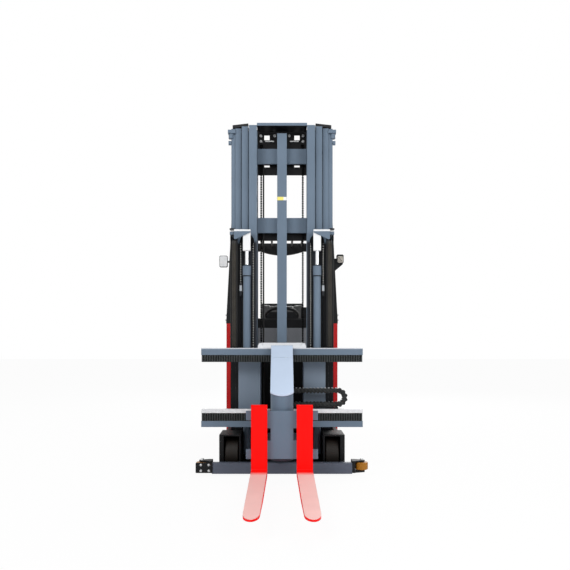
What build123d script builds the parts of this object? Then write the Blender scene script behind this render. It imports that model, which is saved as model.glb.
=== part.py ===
"""Very narrow aisle truck: three-stage mast and a fork head that traverses and swivels in front of it.

Millimetres. +X is to the right seen from the front, +Y runs to the rear, Z is up from the floor.
The working datum for Y is a plane just behind the front of the mast; export moves the part to the
middle of its own length.
"""
from build123d import *
import math
import os

os.makedirs("parts", exist_ok=True)

# Clearances
RUN = 0.3
FREE = 6.0

# Forks
FORK_LEN = 1200.0
FORK_W = 107.0
FORK_TIP_W = 84.0
FORK_T = 40.0
FORK_TIP_T = 12.0
TIP_ROUND = 115.0
FORK_PITCH = 301.0
BLADE_TOP = 120.0
SHANK_TOP = 550.0

# Swivel column and the carriage that turns with it
AXIS_Y = -743.0
COLUMN_R = 71.0
COLUMN_Z = (213.0, 462.0)
PIN_R = 40.0
CARRIAGE_BACK = 87.0
BAR_T = 30.0
BAR_HALF = 240.0
TOP_BAR_Z = (446.0, 508.0)
LOW_BAR_Z = (188.0, 250.0)
BAR_NOTCH = 12.0

# Head that traverses
HEAD_HALF = 80.0
CHEEK_T = 18.0
HEAD_BACK_Y = -388.0
THROAT_Y = -640.0
ARM_Z = (165.0, 195.0)
COLLAR_R = 76.0
HOUSING_Z = (498.0, 612.0)
COVER_FRONT = 79.0
LIP_R = 142.0
COVER_TOP = 945.0
COVER_TOP_Y = -410.0
COVER_T = 8.0
COVER_SEAM = 3.0
TRAVERSE = 500.0

# Traverse frame
BEAM_HALF = 600.0
BEAM_Y = (-380.0, -240.0)
UPPER_BEAM_Z = (821.0, 873.0, 925.0)
LOWER_BEAM_Z = (338.0, 383.0, 442.0)
RACK_T = 26.0
TRACK_H = 30.0
RACK_MODULE = 4.0
BACKLASH = 0.35
PINION_TEETH = 18
PINION_SHAFT_R = 14.0
PINION_Y = BEAM_Y[0] + RACK_MODULE - PINION_TEETH * RACK_MODULE / 2 - 0.15
GROOVE_Y = (-345.0, -280.0)
GROOVE_Z = 893.0
PLATE_T = 20.0
PLATE_REACH = (32.0, 74.0)

# Body width, and the side members and mast that fit inside it
BODY_HALF = 480.0
WALL = 36.0
WALL_GAP = 8.0
MEMBER_T = 30.0
MEMBER_GAP = 4.0
MAST_HALF = BODY_HALF - WALL - WALL_GAP - MEMBER_T - MEMBER_GAP

# Mast rails: section, then each stage's inner and outer X, front Y, foot Z and head Z
RAIL_DEPTH = 150.0
RAIL_FLANGE = 18.0
RAIL_WEB = 14.0
RAIL_STEP = (34.0, 10.0)
OUTER_W = 79.0
MIDDLE_W = 52.0
INNER_W = 62.0
OUTER_X = (MAST_HALF - OUTER_W, MAST_HALF)
MIDDLE_X = (OUTER_X[0] - FREE - MIDDLE_W, OUTER_X[0] - FREE)
INNER_X = (MIDDLE_X[0] - FREE - INNER_W, MIDDLE_X[0] - FREE)
INNER_Y = -130.0
MIDDLE_Y = -100.0
OUTER_Y = -70.0
INNER_Z = (96.0, 2670.0)
MIDDLE_Z = (78.0, 2670.0)
OUTER_Z = (60.0, 2664.0)
CROSSHEAD_T = 23.0
TIE_T = 20.0
TIE_PLATE = 15.0
INNER_TIES = ((2403.0, 2524.0), (1848.0, 1969.0), (110.0, 240.0))
MIDDLE_TIES = ((1795.0, 1965.0), (100.0, 230.0))
MIDDLE_HEAD = (2328.0, 2668.0)
OUTER_TIES = ((1815.0, 1945.0), (60.0, 300.0))
OUTER_HEAD = (2440.0, 2660.0)
WINDOW_X = 122.0
WINDOW_Z = (2610.0, 2652.0)
DUCT_TOP = 2628.0

# Main lift chains
MAST_CHAIN_X = INNER_X[0] - 29.0
MAST_SHEAVE_R = 36.0
MAST_SHEAVE_Z = 2530.0

# Free lift rams
RAM_X = INNER_X[1] + 13.0
RAM_Y = -175.0
RAM_R = 28.0
RAM_ROD_R = 15.0
RAM_Z = (110.0, 1483.0, 1560.0)
YOKE_Z = (1677.0, 1824.0)
SHEAVE_R = 48.5
SHEAVE_Z = 1755.0
CHAIN_Y = -152.0
CHAIN_PITCH = 19.05
ANCHOR_Z = 1390.0

# Main lift rams
MAIN_X = OUTER_X[1] - 40.0
MAIN_Y = 130.0
MAIN_R = 36.0
MAIN_ROD_R = 22.0
MAIN_Z = (60.0, 2250.0)
MAIN_FLOOR = 40.0

# Chassis and wheels
DECK_Z = (40.0, 60.0)
NOSE_Y = -525.0
NOSE_REACH = 25.0
NOSE_HALF = BODY_HALF + NOSE_REACH
NOSE_Z = (20.0, 98.0)
LOAD_WHEEL_R = 125.0
LOAD_WHEEL_W = 100.0
LOAD_WHEEL_X = OUTER_X[1] - 27.0
LEG_T = 33.0
BOX_T = 10.0
WHEEL_GAP = 8.0
LOAD_WHEEL_Y = MIDDLE_Y - FREE - BOX_T - WHEEL_GAP - LOAD_WHEEL_R
AXLE_R = 22.0
ROLLER_X = NOSE_HALF + 73.0
ROLLER_Y = -478.0
ROLLER_R = 46.0
ROLLER_Z = (46.0, 98.0)
DRIVE_R = 200.0
DRIVE_W = 150.0
DRIVE_Y = 1900.0
WELL_R = 262.0
WELL_Z = 470.0

# Body and cab
BODY_Z = (110.0, 1135.0)
COWL_TOP = 1096.0
DASH_TOP = 1180.0
COWL_Y = 380.0
FLOOR_Z = 420.0
HOOD_Y = (960.0, 1700.0)
HOOD_Z = 800.0
REAR_Y = 2550.0
REAR_TOP = 1150.0
WEIGHT_Z = (130.0, 880.0)
TOW_R = 16.0
ROOF_Z = (2050.0, 2120.0)
ROOF_Y = (950.0, 2200.0)
POST = 46.0
POST_T = 40.0
GUARD_HALF = BODY_HALF + 4.0
SEAT_HALF = 235.0
SEAT_Y = (1040.0, 1480.0)
BACK_TOP = 1390.0
ARM_RISE = 150.0
PEDAL_Y = 590.0

PLATE_X = (INNER_X[0] - PLATE_REACH[0], INNER_X[1] + PLATE_REACH[1])
FORK_FACE_Y = AXIS_Y - CARRIAGE_BACK - BAR_T
TIP_Y = FORK_FACE_Y - FORK_LEN
MID_Y = (TIP_Y + REAR_Y) / 2


def block(x, y, z):
    """Box between pairs of limits."""
    size = [b - a for a, b in (x, y, z)]
    return Pos(*[(a + b) / 2 for a, b in (x, y, z)]) * Box(*size)


def outline(points):
    """Polygon face through the points, turned so that it faces its plane's normal."""
    area = sum(a[0] * b[1] - b[0] * a[1] for a, b in zip(points, points[1:] + points[:1]))
    return Polygon(*(points if area > 0 else points[::-1]), align=None)


def side(points, x):
    """Side profile of (y, z) points, made solid between two X limits."""
    return Pos(x[0], 0, 0) * extrude(Plane.YZ * outline(points), x[1] - x[0])


def plan(points, z):
    """Plan outline of (x, y) points, made solid between two Z limits."""
    return Pos(0, 0, z[0]) * extrude(outline(points), z[1] - z[0])


def front(points, y):
    """Front outline of (x, z) points, made solid between two Y limits."""
    return Pos(0, y[1], 0) * extrude(Plane.XZ * outline(points), y[1] - y[0])


def along_x(r, x, y, z):
    return Pos((x[0] + x[1]) / 2, y, z) * Rot(0, 90, 0) * Cylinder(r, x[1] - x[0])


def along_y(r, x, y, z):
    return Pos(x, (y[0] + y[1]) / 2, z) * Rot(90, 0, 0) * Cylinder(r, y[1] - y[0])


def along_z(r, x, y, z):
    return Pos(x, y, (z[0] + z[1]) / 2) * Cylinder(r, z[1] - z[0])


def pair(shape):
    """The piece and its mirror image on the other side of the truck."""
    return [shape, mirror(shape, about=Plane.YZ)]


def save(node, *shapes):
    solids = [s for shape in shapes for s in shape.solids()]
    export_step(Pos(0, -MID_Y, 0) * Compound(children=solids), f"parts/{node}.step")


# Forks: hooked shank, heel and a blade that thins from below and narrows to a rounded tip
def fork(x):
    back = FORK_FACE_Y
    face = back - FORK_T
    tip = TIP_Y
    low = BLADE_TOP - FORK_T
    thin = tip + 0.42 * FORK_LEN
    shape = Polygon(
        (back, SHANK_TOP), (face, SHANK_TOP), (face, BLADE_TOP), (tip, BLADE_TOP),
        (tip, BLADE_TOP - FORK_TIP_T), (thin, low), (back, low), align=None)
    shape = fillet([v for v in shape.vertices() if abs(v.X - back) < 1 and abs(v.Y - low) < 1], 46)
    shape = fillet([v for v in shape.vertices() if abs(v.X - face) < 1 and abs(v.Y - BLADE_TOP) < 1], 10)
    body = Pos(x - FORK_W / 2, 0, 0) * extrude(Plane.YZ * shape, FORK_W)
    half, end = FORK_W / 2, FORK_TIP_W / 2
    shoulder = tip + TIP_ROUND
    shape = Polygon(
        (x - half, back + 1), (x - half, face), (x - end, shoulder), (x + end, shoulder), (x + half, face),
        (x + half, back + 1), align=None)
    shape += Pos(x, shoulder) * Ellipse(end, TIP_ROUND)
    blade = body & extrude(shape, SHANK_TOP + 1)
    deep = BAR_T - BAR_NOTCH
    wide = (x - FORK_W / 2 + 8, x + FORK_W / 2 - 8)
    top = TOP_BAR_Z[1]
    bottom = LOW_BAR_Z[0]
    upper = [(back, top + RUN), (back, top + 34), (back + BAR_T - 1, top + 34),
             (back + BAR_T - 1, top - 16),
             (back + deep + 1, top - 16), (back + deep + 1, top + RUN)]
    lower = [(back, bottom - RUN), (back, bottom - 26), (back + BAR_T - 1, bottom - 26),
             (back + BAR_T - 1, bottom + 16), (back + deep + 1, bottom + 16),
             (back + deep + 1, bottom - RUN)]
    return blade + side(upper, wide) + side(lower, wide)


save("forks", *[fork(s * FORK_PITCH / 2) for s in (-1, 1)])

# Fork carriage: two notched bars, a waisted middle plate and a saddle on the column
bar_y = (FORK_FACE_Y + RUN, FORK_FACE_Y + BAR_T)
notch_y = (bar_y[1] - BAR_NOTCH, bar_y[1] + 1)
full = (-BAR_HALF, BAR_HALF)
carriage = block(full, bar_y, TOP_BAR_Z) + block(full, bar_y, LOW_BAR_Z)
carriage -= block((-BAR_HALF - 1, BAR_HALF + 1), notch_y, (TOP_BAR_Z[1] - 20, TOP_BAR_Z[1] + 1))
carriage -= block((-BAR_HALF - 1, BAR_HALF + 1), notch_y, (LOW_BAR_Z[0] - 1, LOW_BAR_Z[0] + 20))
carriage += block((-110, 110), bar_y, (LOW_BAR_Z[0] + 20, TOP_BAR_Z[1] - 20))
middle_z = (LOW_BAR_Z[1] + TOP_BAR_Z[0]) / 2
for s in (-1, 1):
    opening = (middle_z - 38, middle_z + 44)
    carriage -= block(sorted((s * 76, s * 112)), (bar_y[0] - 1, bar_y[1] + 1), opening)
saddle = block((-60, 60), (bar_y[1], AXIS_Y - 20), (COLUMN_Z[0] + 12, COLUMN_Z[1] - 14))
saddle -= along_z(COLUMN_R + RUN, 0, AXIS_Y, COLUMN_Z)
save("fork_carriage", carriage + saddle)

# Swivel column with a pin at each end
column = along_z(COLUMN_R, 0, AXIS_Y, COLUMN_Z)
column += along_z(PIN_R, 0, AXIS_Y, (ARM_Z[0] + 4, COLUMN_Z[0]))
column += along_z(PIN_R, 0, AXIS_Y, (COLUMN_Z[1], HOUSING_Z[0] + 32))
save("turret_column", column)


def roof_z(y):
    """Height of the sloped head cover's top face."""
    front_y = AXIS_Y - COVER_FRONT
    return HOUSING_Z[1] + (COVER_TOP - HOUSING_Z[1]) * (y - front_y) / (COVER_TOP_Y - front_y)


# Head frame: two C-shaped cheeks, the web between them, the lower arm and the shoe on the upper beam
def under(y, drop):
    return roof_z(y) - drop


drop = COVER_T * 1.28 + RUN
arm_front = AXIS_Y + 47
cheek = Polygon(
    (HEAD_BACK_Y, ARM_Z[0]), (HEAD_BACK_Y, COVER_TOP), (COVER_TOP_Y, COVER_TOP),
    (COVER_TOP_Y, under(COVER_TOP_Y, drop)), (arm_front, under(arm_front, drop)), (arm_front, HOUSING_Z[0]),
    (THROAT_Y, HOUSING_Z[0]), (THROAT_Y, ARM_Z[1]), (AXIS_Y, ARM_Z[1]), (AXIS_Y, ARM_Z[0]), align=None)
cheek = fillet([v for v in cheek.vertices() if abs(v.X - THROAT_Y) < 1], 55)
cheek_x = (HEAD_HALF - CHEEK_T, HEAD_HALF)
plate = Pos(cheek_x[0], 0, 0) * extrude(Plane.YZ * cheek, CHEEK_T)
frame = plate + mirror(plate, about=Plane.YZ)
inside = (-cheek_x[0], cheek_x[0])
frame += block(inside, (THROAT_Y, THROAT_Y + CHEEK_T), (ARM_Z[0], HOUSING_Z[1] - 22))
frame += block(inside, (AXIS_Y, HEAD_BACK_Y), ARM_Z)
frame += along_z(COLLAR_R, 0, AXIS_Y, (ARM_Z[0], COLUMN_Z[0] - 5))
frame -= along_z(PIN_R + RUN, 0, AXIS_Y, (0, 300))
shoe_z = UPPER_BEAM_Z[2] + FREE
frame += block((-HEAD_HALF, HEAD_HALF), (HEAD_BACK_Y - 22, GROOVE_Y[1] - RUN), (shoe_z, COVER_TOP))
frame += block((-HEAD_HALF, HEAD_HALF), (GROOVE_Y[0] + RUN, GROOVE_Y[1] - RUN), (GROOVE_Z + RUN, shoe_z))
pad_z = (LOWER_BEAM_Z[0] + 6, LOWER_BEAM_Z[1] - 6)
frame += block((-HEAD_HALF, HEAD_HALF), (HEAD_BACK_Y - 20, BEAM_Y[0] - RUN), pad_z)
for z in (LOWER_BEAM_Z[2] + 10, UPPER_BEAM_Z[0] - 43):
    bearing = block(inside, (PINION_Y - 34, HEAD_BACK_Y), (z, z + 24))
    frame += bearing - along_z(PINION_SHAFT_R + RUN, 0, PINION_Y, (z - 1, z + 25))
save("head_frame", frame)

# Bearing housing above the column, round at the front and cut to the slope of the cover
shell_z = (HOUSING_Z[0], COVER_TOP)
shell = along_z(COLLAR_R, 0, AXIS_Y, shell_z)
shell += block((-COLLAR_R, COLLAR_R), (AXIS_Y, arm_front - 1), shell_z)
shell += block((-cheek_x[0] + 0.5, cheek_x[0] - 0.5), (arm_front - 1, THROAT_Y - 1), shell_z)
far = AXIS_Y - 400
above = [(far, roof_z(far) - drop), (0, roof_z(0) - drop), (0, 3000), (far, 3000)]
housing = shell - side(above, (-200, 200))
ring = along_z(COLLAR_R - 2, 0, AXIS_Y, (COLUMN_Z[1] + 5, HOUSING_Z[0]))
housing += ring
housing -= along_z(PIN_R + RUN, 0, AXIS_Y, (COLUMN_Z[1], HOUSING_Z[0] + 34))
save("head_housing", housing)

# Pale sloped cover in two lengths, its front lip a shallow arc in plan
lip_y = AXIS_Y - COVER_FRONT
lip_z = (HOUSING_Z[0], COVER_TOP + COVER_T)
lip = along_z(LIP_R, 0, lip_y + LIP_R, lip_z)
lip += block((-LIP_R, LIP_R), (lip_y + LIP_R, COVER_TOP_Y), lip_z)
lip &= block((-COVER_FRONT, COVER_FRONT), (lip_y - 1, COVER_TOP_Y - 0.5), lip_z)
slab = [(far, roof_z(far)), (0, roof_z(0)), (0, roof_z(0) - drop + RUN), (far, roof_z(far) - drop + RUN)]
lid = lip & side(slab, (-200, 200))
seam_y = COVER_TOP_Y - 0.26 * (COVER_TOP_Y - AXIS_Y + COVER_FRONT)
lid -= block((-LIP_R, LIP_R), (seam_y - COVER_SEAM / 2, seam_y + COVER_SEAM / 2), lip_z)
save("head_cover", lid)

# Traverse beams: the upper one grooved for the shoe, both with a rack along the front
upper_z, upper_rack_top, upper_top = UPPER_BEAM_Z
lower_z, lower_rack_low, lower_top = LOWER_BEAM_Z
wide = (-BEAM_HALF, BEAM_HALF)
behind = (BEAM_Y[0] + RACK_T, BEAM_Y[1])
upper = block(wide, BEAM_Y, (upper_rack_top, upper_top)) + block(wide, behind, (upper_z, upper_rack_top))
upper -= block((-BEAM_HALF - 1, BEAM_HALF + 1), GROOVE_Y, (GROOVE_Z, upper_top + 1))
lower = block(wide, BEAM_Y, (lower_z, lower_rack_low)) + block(wide, behind, (lower_rack_low, lower_top))
save("traverse_beams", upper, lower)


# Racks: straight-flanked teeth facing forward along both beams
PITCH = math.pi * RACK_MODULE
FLANK = math.radians(20)


def rack(z):
    teeth = int(2 * BEAM_HALF / PITCH)
    tip, root, back = BEAM_Y[0], BEAM_Y[0] + 2.25 * RACK_MODULE, BEAM_Y[0] + RACK_T
    start = -teeth * PITCH / 2
    waist = PITCH / 4 - BACKLASH / 2
    narrow = waist - RACK_MODULE * math.tan(FLANK)
    broad = waist + 1.25 * RACK_MODULE * math.tan(FLANK)
    points = [(start, back), (start, root)]
    for i in range(teeth):
        x = start + (i + 0.5) * PITCH
        points += [(x - broad, root), (x - narrow, tip), (x + narrow, tip), (x + broad, root)]
    points += [(-start, root), (-start, back)]
    return plan(points, z)


save("traverse_racks", rack((upper_z, upper_rack_top)), rack((lower_rack_low, lower_top)))

# Track: a ground steel strip that caps the lower rack
track_y = (BEAM_Y[0] + 2, BEAM_Y[0] + RACK_T)
save("guide_track", block(wide, track_y, (lower_top, lower_top + TRACK_H)))


# Traverse pinions: involute teeth on one upright shaft, in mesh with both racks
def pinion(z):
    pitch_r = PINION_TEETH * RACK_MODULE / 2
    base = pitch_r * math.cos(FLANK)
    root, tip = pitch_r - 1.25 * RACK_MODULE, pitch_r + RACK_MODULE
    half = (PITCH / 2 - BACKLASH) / (2 * pitch_r) + math.tan(FLANK) - FLANK
    flank = []
    for i in range(5):
        r = base + (tip - base) * i / 4
        a = math.acos(base / r)
        flank.append((r, half - (math.tan(a) - a)))
    points = []
    for k in range(PINION_TEETH):
        middle = math.pi / 2 + (k + 0.5) * 2 * math.pi / PINION_TEETH
        tooth = [(root, -flank[0][1])] + [(r, -a) for r, a in flank]
        tooth += [(r, a) for r, a in reversed(flank)] + [(root, flank[0][1])]
        points += [(r * math.cos(middle + a), PINION_Y + r * math.sin(middle + a)) for r, a in tooth]
    return plan(points, z)


gears = pinion((upper_z + 5, upper_rack_top - 5)) + pinion((lower_rack_low + 5, lower_top - 5))
shaft_z = (lower_rack_low + 5, upper_rack_top - 5)
save("traverse_pinions", gears + along_z(PINION_SHAFT_R, 0, PINION_Y, shaft_z))

# Lift carriage: face plates behind the beams, arms into the inner rails and their rollers
carriage_z = (lower_z, upper_top)
groove_mid = INNER_Y + RAIL_DEPTH / 2
roller_r = RAIL_DEPTH / 2 - RAIL_FLANGE - RUN
plates = block(PLATE_X, (BEAM_Y[1], BEAM_Y[1] + PLATE_T), carriage_z)
arm_x = (PLATE_X[0], PLATE_X[0] + 22)
plates += block(arm_x, (BEAM_Y[1] + PLATE_T, groove_mid + 26), (lower_z + 20, upper_top - 20))
for z in (lower_z + 80, upper_top - 80):
    plates += along_x(16, (arm_x[1], INNER_X[0] + 4), groove_mid, z)
    plates += along_x(roller_r, (INNER_X[0] + 4, INNER_X[1] - RAIL_WEB - 6), groove_mid, z)
chain_in = RAM_X - SHEAVE_R
lug_z = (upper_top - 85, upper_top - 35)
plates += block((chain_in - 14, chain_in + 14), (BEAM_Y[1] + PLATE_T, CHAIN_Y + 12), lug_z)
save("carriage_plates", *pair(plates))

rear = BEAM_Y[1] + 100
cover = [(BEAM_Y[1] + RUN, upper_top - 20), (BEAM_Y[1] + RUN, upper_top + 5),
         (BEAM_Y[1] + 35, upper_top + 37),
         (rear, upper_top + 41), (rear, upper_top - 20)]
save("carriage_cover", side(cover, (-PLATE_X[0], PLATE_X[0])))

# Energy chain: links along a run, a half turn and a shorter return run
chain_r = 52.0
run_z = 606.0
turn_x = 420.0
link = 34.0
stations = []
for i in range(9):
    stations.append((turn_x - (8 - i) * (link + 2) - link / 2, run_z, 0.0))
for i in range(4):
    a = math.radians(22.5 + 45 * i)
    rise = chain_r * (math.cos(a) - 1)
    stations.append((turn_x + chain_r * math.sin(a), run_z + rise, math.degrees(a)))
for i in range(12):
    stations.append((turn_x - i * (link + 2) - link / 2, run_z - 2 * chain_r, 180.0))
chain_y = (BEAM_Y[0] + BEAM_Y[1]) / 2 - 8
links = [Pos(x, chain_y, z) * Rot(0, a, 0) * Box(link + 2, 52, 38) for x, z, a in stations]
strip = links[0]
for piece in links[1:]:
    strip = strip + piece
save("energy_chain", strip)
tray_z = run_z - 2 * chain_r - 19 - RUN
tray_y = (chain_y - 28, chain_y + 28)
tray_x = turn_x - 12 * (link + 2) - 6
tray = block((tray_x, turn_x), tray_y, (tray_z - 6, tray_z))
for x in (tray_x, turn_x - 24):
    tray += block((x, x + 24), (BEAM_Y[0] + RACK_T + 2, BEAM_Y[1]), (lower_top, tray_z - 6))


# Mast rails: C sections open to the middle, one inside the next
def rail(x, y, z):
    section = block(x, (y, y + RAIL_DEPTH), z)
    channel_y = (y + RAIL_FLANGE, y + RAIL_DEPTH - RAIL_FLANGE)
    section -= block((x[0] - 1, x[1] - RAIL_WEB), channel_y, (z[0] - 1, z[1] + 1))
    return section


def stage_rollers(x, y, neighbour, z):
    """Roller pair low on a stage, running in the groove of the next rail outward."""
    mid = y + RAIL_DEPTH / 2
    axle = along_x(16, (x[1], neighbour[0] + 4), mid, z)
    return axle + along_x(roller_r, (neighbour[0] + 4, neighbour[1] - RAIL_WEB - 5), mid, z)


inner_rail = rail(INNER_X, INNER_Y, INNER_Z) + stage_rollers(INNER_X, MIDDLE_Y, MIDDLE_X, INNER_Z[0] + 70)
middle_rail = rail(MIDDLE_X, MIDDLE_Y, MIDDLE_Z)
middle_rail += stage_rollers(MIDDLE_X, OUTER_Y, OUTER_X, MIDDLE_Z[0] + 70)
outer_rail = rail(OUTER_X, OUTER_Y, OUTER_Z)
step_x = (OUTER_X[1] - RAIL_STEP[0], OUTER_X[1] + 1)
outer_rail -= block(step_x, (OUTER_Y - 1, OUTER_Y + RAIL_STEP[1]), (OUTER_Z[0] - 1, OUTER_Z[1] + 1))
stop_y = (OUTER_Y - 12, OUTER_Y + 44)
outer_rail += block((OUTER_X[1] - 34, OUTER_X[1] + 26), stop_y, (OUTER_Z[1] - 40, OUTER_Z[1] - 14))
outer_rail += along_z(20, OUTER_X[1] + 2, OUTER_Y + 16, (OUTER_Z[1] - 78, OUTER_Z[1] - 40))
outer_rail += along_x(17, (OUTER_X[1], OUTER_X[1] + 22), OUTER_Y + 16, OUTER_Z[1] - 112)
save("inner_rails", *pair(inner_rail))
save("middle_rails", *pair(middle_rail))
save("outer_rails", *pair(outer_rail))

# Crossmembers of the three stages
inner_back = INNER_Y + RAIL_DEPTH
middle_rear = MIDDLE_Y + RAIL_DEPTH
span = (-INNER_X[0], INNER_X[0])
ties = [block(span, (inner_back - TIE_T, inner_back), z) for z in INNER_TIES]
ties.append(block(span, (INNER_Y + 12, inner_back), (INNER_Z[1] - 2, INNER_Z[1] + CROSSHEAD_T - 2)))
foot_z = INNER_TIES[2]
for s in (-1, 1):
    x = s * MAST_CHAIN_X
    hook_y = (inner_back, (inner_back + middle_rear) / 2 + 8)
    ties[2] += block((x - 12, x + 12), hook_y, (foot_z[1] - 60, foot_z[1]))
save("inner_crossmembers", *ties)

span = (-MIDDLE_X[1], MIDDLE_X[1])
sheave_y = (inner_back + middle_rear) / 2 + 5 + MAST_SHEAVE_R
head_plate = block(span, (middle_rear, middle_rear + TIE_PLATE), MIDDLE_HEAD)
head_plate += block((4 - INNER_X[1], INNER_X[1] - 4), (middle_rear, middle_rear + TIE_PLATE),
                    (MIDDLE_HEAD[1], MIDDLE_Z[1] + CROSSHEAD_T))
for s in (-1, 1):
    head_plate -= block((s * WINDOW_X - 22, s * WINDOW_X + 22), (0, 200), WINDOW_Z)
    slit_z = (MIDDLE_HEAD[0] + 62, MIDDLE_HEAD[0] + 80)
    head_plate -= block((s * WINDOW_X - 22, s * WINDOW_X + 22), (0, 200), slit_z)
    slot = (s * MAST_CHAIN_X - 14, s * MAST_CHAIN_X + 14)
    slot_z = (MAST_SHEAVE_Z - MAST_SHEAVE_R - 8, MAST_SHEAVE_Z + MAST_SHEAVE_R + 8)
    head_plate -= block(slot, (0, 200), slot_z)
    for x in (slot[0] - 8, slot[1]):
        cheek_z = (MAST_SHEAVE_Z - 22, MAST_SHEAVE_Z + 22)
        ear = block((x, x + 8), (middle_rear + TIE_PLATE, middle_rear + 60), cheek_z)
        head_plate += ear - along_x(9, (x - 1, x + 9), sheave_y, MAST_SHEAVE_Z)
ties = [head_plate]
ties += [block(span, (middle_rear, middle_rear + TIE_PLATE), z) for z in MIDDLE_TIES]
cross = [(MIDDLE_X[0], MIDDLE_Y), (OUTER_X[1] - 10, MIDDLE_Y + 40), (OUTER_X[1] - 10, MAIN_Y + 30),
         (MIDDLE_X[0], MAIN_Y + 30)]
ties += pair(plan(cross, (MIDDLE_Z[1], MIDDLE_Z[1] + CROSSHEAD_T)))
save("middle_crossmembers", *ties)

outer_back = OUTER_Y + RAIL_DEPTH
span = (-OUTER_X[1], OUTER_X[1])
bridge_y = (outer_back + 44, outer_back + 56)
bridge = block((-OUTER_X[0] - 10, OUTER_X[0] + 10), bridge_y, OUTER_HEAD)
for s in (-1, 1):
    bridge += block(sorted((s * OUTER_X[0], s * (OUTER_X[0] + 10))), (outer_back, bridge_y[1]), OUTER_HEAD)
    bridge -= block((s * WINDOW_X - 32, s * WINDOW_X + 32), (0, 300), (WINDOW_Z[0] - 8, OUTER_HEAD[1] + 1))
save("outer_crossmembers", bridge, *[block(span, (outer_back, outer_back + 12), z) for z in OUTER_TIES])

# Main lift chains: front strands from the middle stage's sheaves down to the inner stage's foot
mast_chain_y = (inner_back + middle_rear) / 2
strands = []
for s in (-1, 1):
    x = s * MAST_CHAIN_X
    run = block((x - 7, x + 7), (mast_chain_y - 5, mast_chain_y + 5), (foot_z[1], MAST_SHEAVE_Z))
    strands.append(run)
save("mast_chains", *strands)
wheels = []
for s in (-1, 1):
    x = s * MAST_CHAIN_X
    disc = along_x(MAST_SHEAVE_R, (x - 9, x + 9), sheave_y, MAST_SHEAVE_Z)
    wheels.append(disc + along_x(9, (x - 20, x + 20), sheave_y, MAST_SHEAVE_Z))
save("mast_sheaves", *wheels)
# Duct for hoses and cables up the middle of the inner stage
duct = block((-38, 38), (inner_back - TIE_T - 60, inner_back - TIE_T), (130, DUCT_TOP))
save("hose_duct", duct)

# Main lift rams: barrels on the chassis, rods under the middle stage's crossheads
barrel = along_z(MAIN_R, MAIN_X, MAIN_Y, MAIN_Z)
barrel -= along_z(MAIN_ROD_R + RUN, MAIN_X, MAIN_Y, (MAIN_Z[0] + MAIN_FLOOR, MAIN_Z[1] + 1))
save("main_barrels", *pair(barrel))
save("main_rods", *pair(along_z(MAIN_ROD_R, MAIN_X, MAIN_Y, (MAIN_Z[0] + 60, MIDDLE_Z[1]))))

# Free lift rams: feet and barrels on the inner stage, rods, yokes and sheaves above
foot_y = (RAM_Y - RAM_R, INNER_Y)
ram = block((RAM_X - 40, INNER_X[1]), foot_y, (RAM_Z[0] - 14, RAM_Z[0] + 10))
ram += along_z(RAM_R, RAM_X, RAM_Y, (RAM_Z[0], RAM_Z[1]))
ram += along_z(RAM_R + 4, RAM_X, RAM_Y, (RAM_Z[1], RAM_Z[2]))
ram -= along_z(RAM_ROD_R + RUN, RAM_X, RAM_Y, (RAM_Z[0] + 60, RAM_Z[2] + 1))
ram += block((RAM_X - 14, RAM_X + 14), (RAM_Y + RAM_R - 4, INNER_Y), (1200, 1240)) - along_z(
    RAM_R - 4, RAM_X, RAM_Y, (1100, 1300))
save("ram_barrels", *pair(ram))
save("ram_rods", *pair(along_z(RAM_ROD_R, RAM_X, RAM_Y, (RAM_Z[0] + 90, YOKE_Z[0]))))

yoke = block((RAM_X - 29, RAM_X + 29), (RAM_Y - 29, RAM_Y + 9), YOKE_Z)
yoke += along_y(14, RAM_X, (RAM_Y + 9, CHAIN_Y + 14), SHEAVE_Z)
save("ram_yokes", *pair(yoke))
sheave = along_y(SHEAVE_R - 6, RAM_X, (CHAIN_Y - 7, CHAIN_Y + 7), SHEAVE_Z)
sheave += along_y(SHEAVE_R + 5, RAM_X, (CHAIN_Y + 7, CHAIN_Y + 11), SHEAVE_Z)
sheave += along_y(SHEAVE_R + 5, RAM_X, (CHAIN_Y - 11, CHAIN_Y - 7), SHEAVE_Z)
sheave -= along_y(14 + RUN, RAM_X, (RAM_Y, 0), SHEAVE_Z)
save("chain_sheaves", *pair(sheave))

# Brackets on the yokes, reaching out to carry the hose clamps
reach = (RAM_X - 29, OUTER_X[1] - 32)
top = YOKE_Z[1]
bracket = block(reach, (RAM_Y - 37, RAM_Y + 9), (top, top + 14))
gusset = [(reach[0], top), (reach[1], top), (reach[1], top - 58), (reach[1] - 12, top - 62),
          (reach[0], top - 8)]
bracket += front(gusset, (RAM_Y - 37, RAM_Y - 29 - RUN))
clamp_x = (OUTER_X[1] - 60, OUTER_X[1] + 2)
bracket += block((reach[1], clamp_x[1]), (RAM_Y - 14, RAM_Y + 9), (top, top + 14))
bracket += block(clamp_x, (RAM_Y - 14, RAM_Y + 24), (top - 22, top))
save("yoke_brackets", *pair(bracket))


# Lift chains: outer strands to the anchors, inner strands to the carriage, over the sheaves
def strand(x, z):
    count = int((z[1] - z[0]) / CHAIN_PITCH)
    body = block((x - 3, x + 3), (CHAIN_Y - 4, CHAIN_Y + 4), z)
    for i in range(count):
        body += along_y(5.4, x, (CHAIN_Y - 6.5, CHAIN_Y + 6.5), z[0] + (i + 0.5) * CHAIN_PITCH)
    return body


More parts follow.
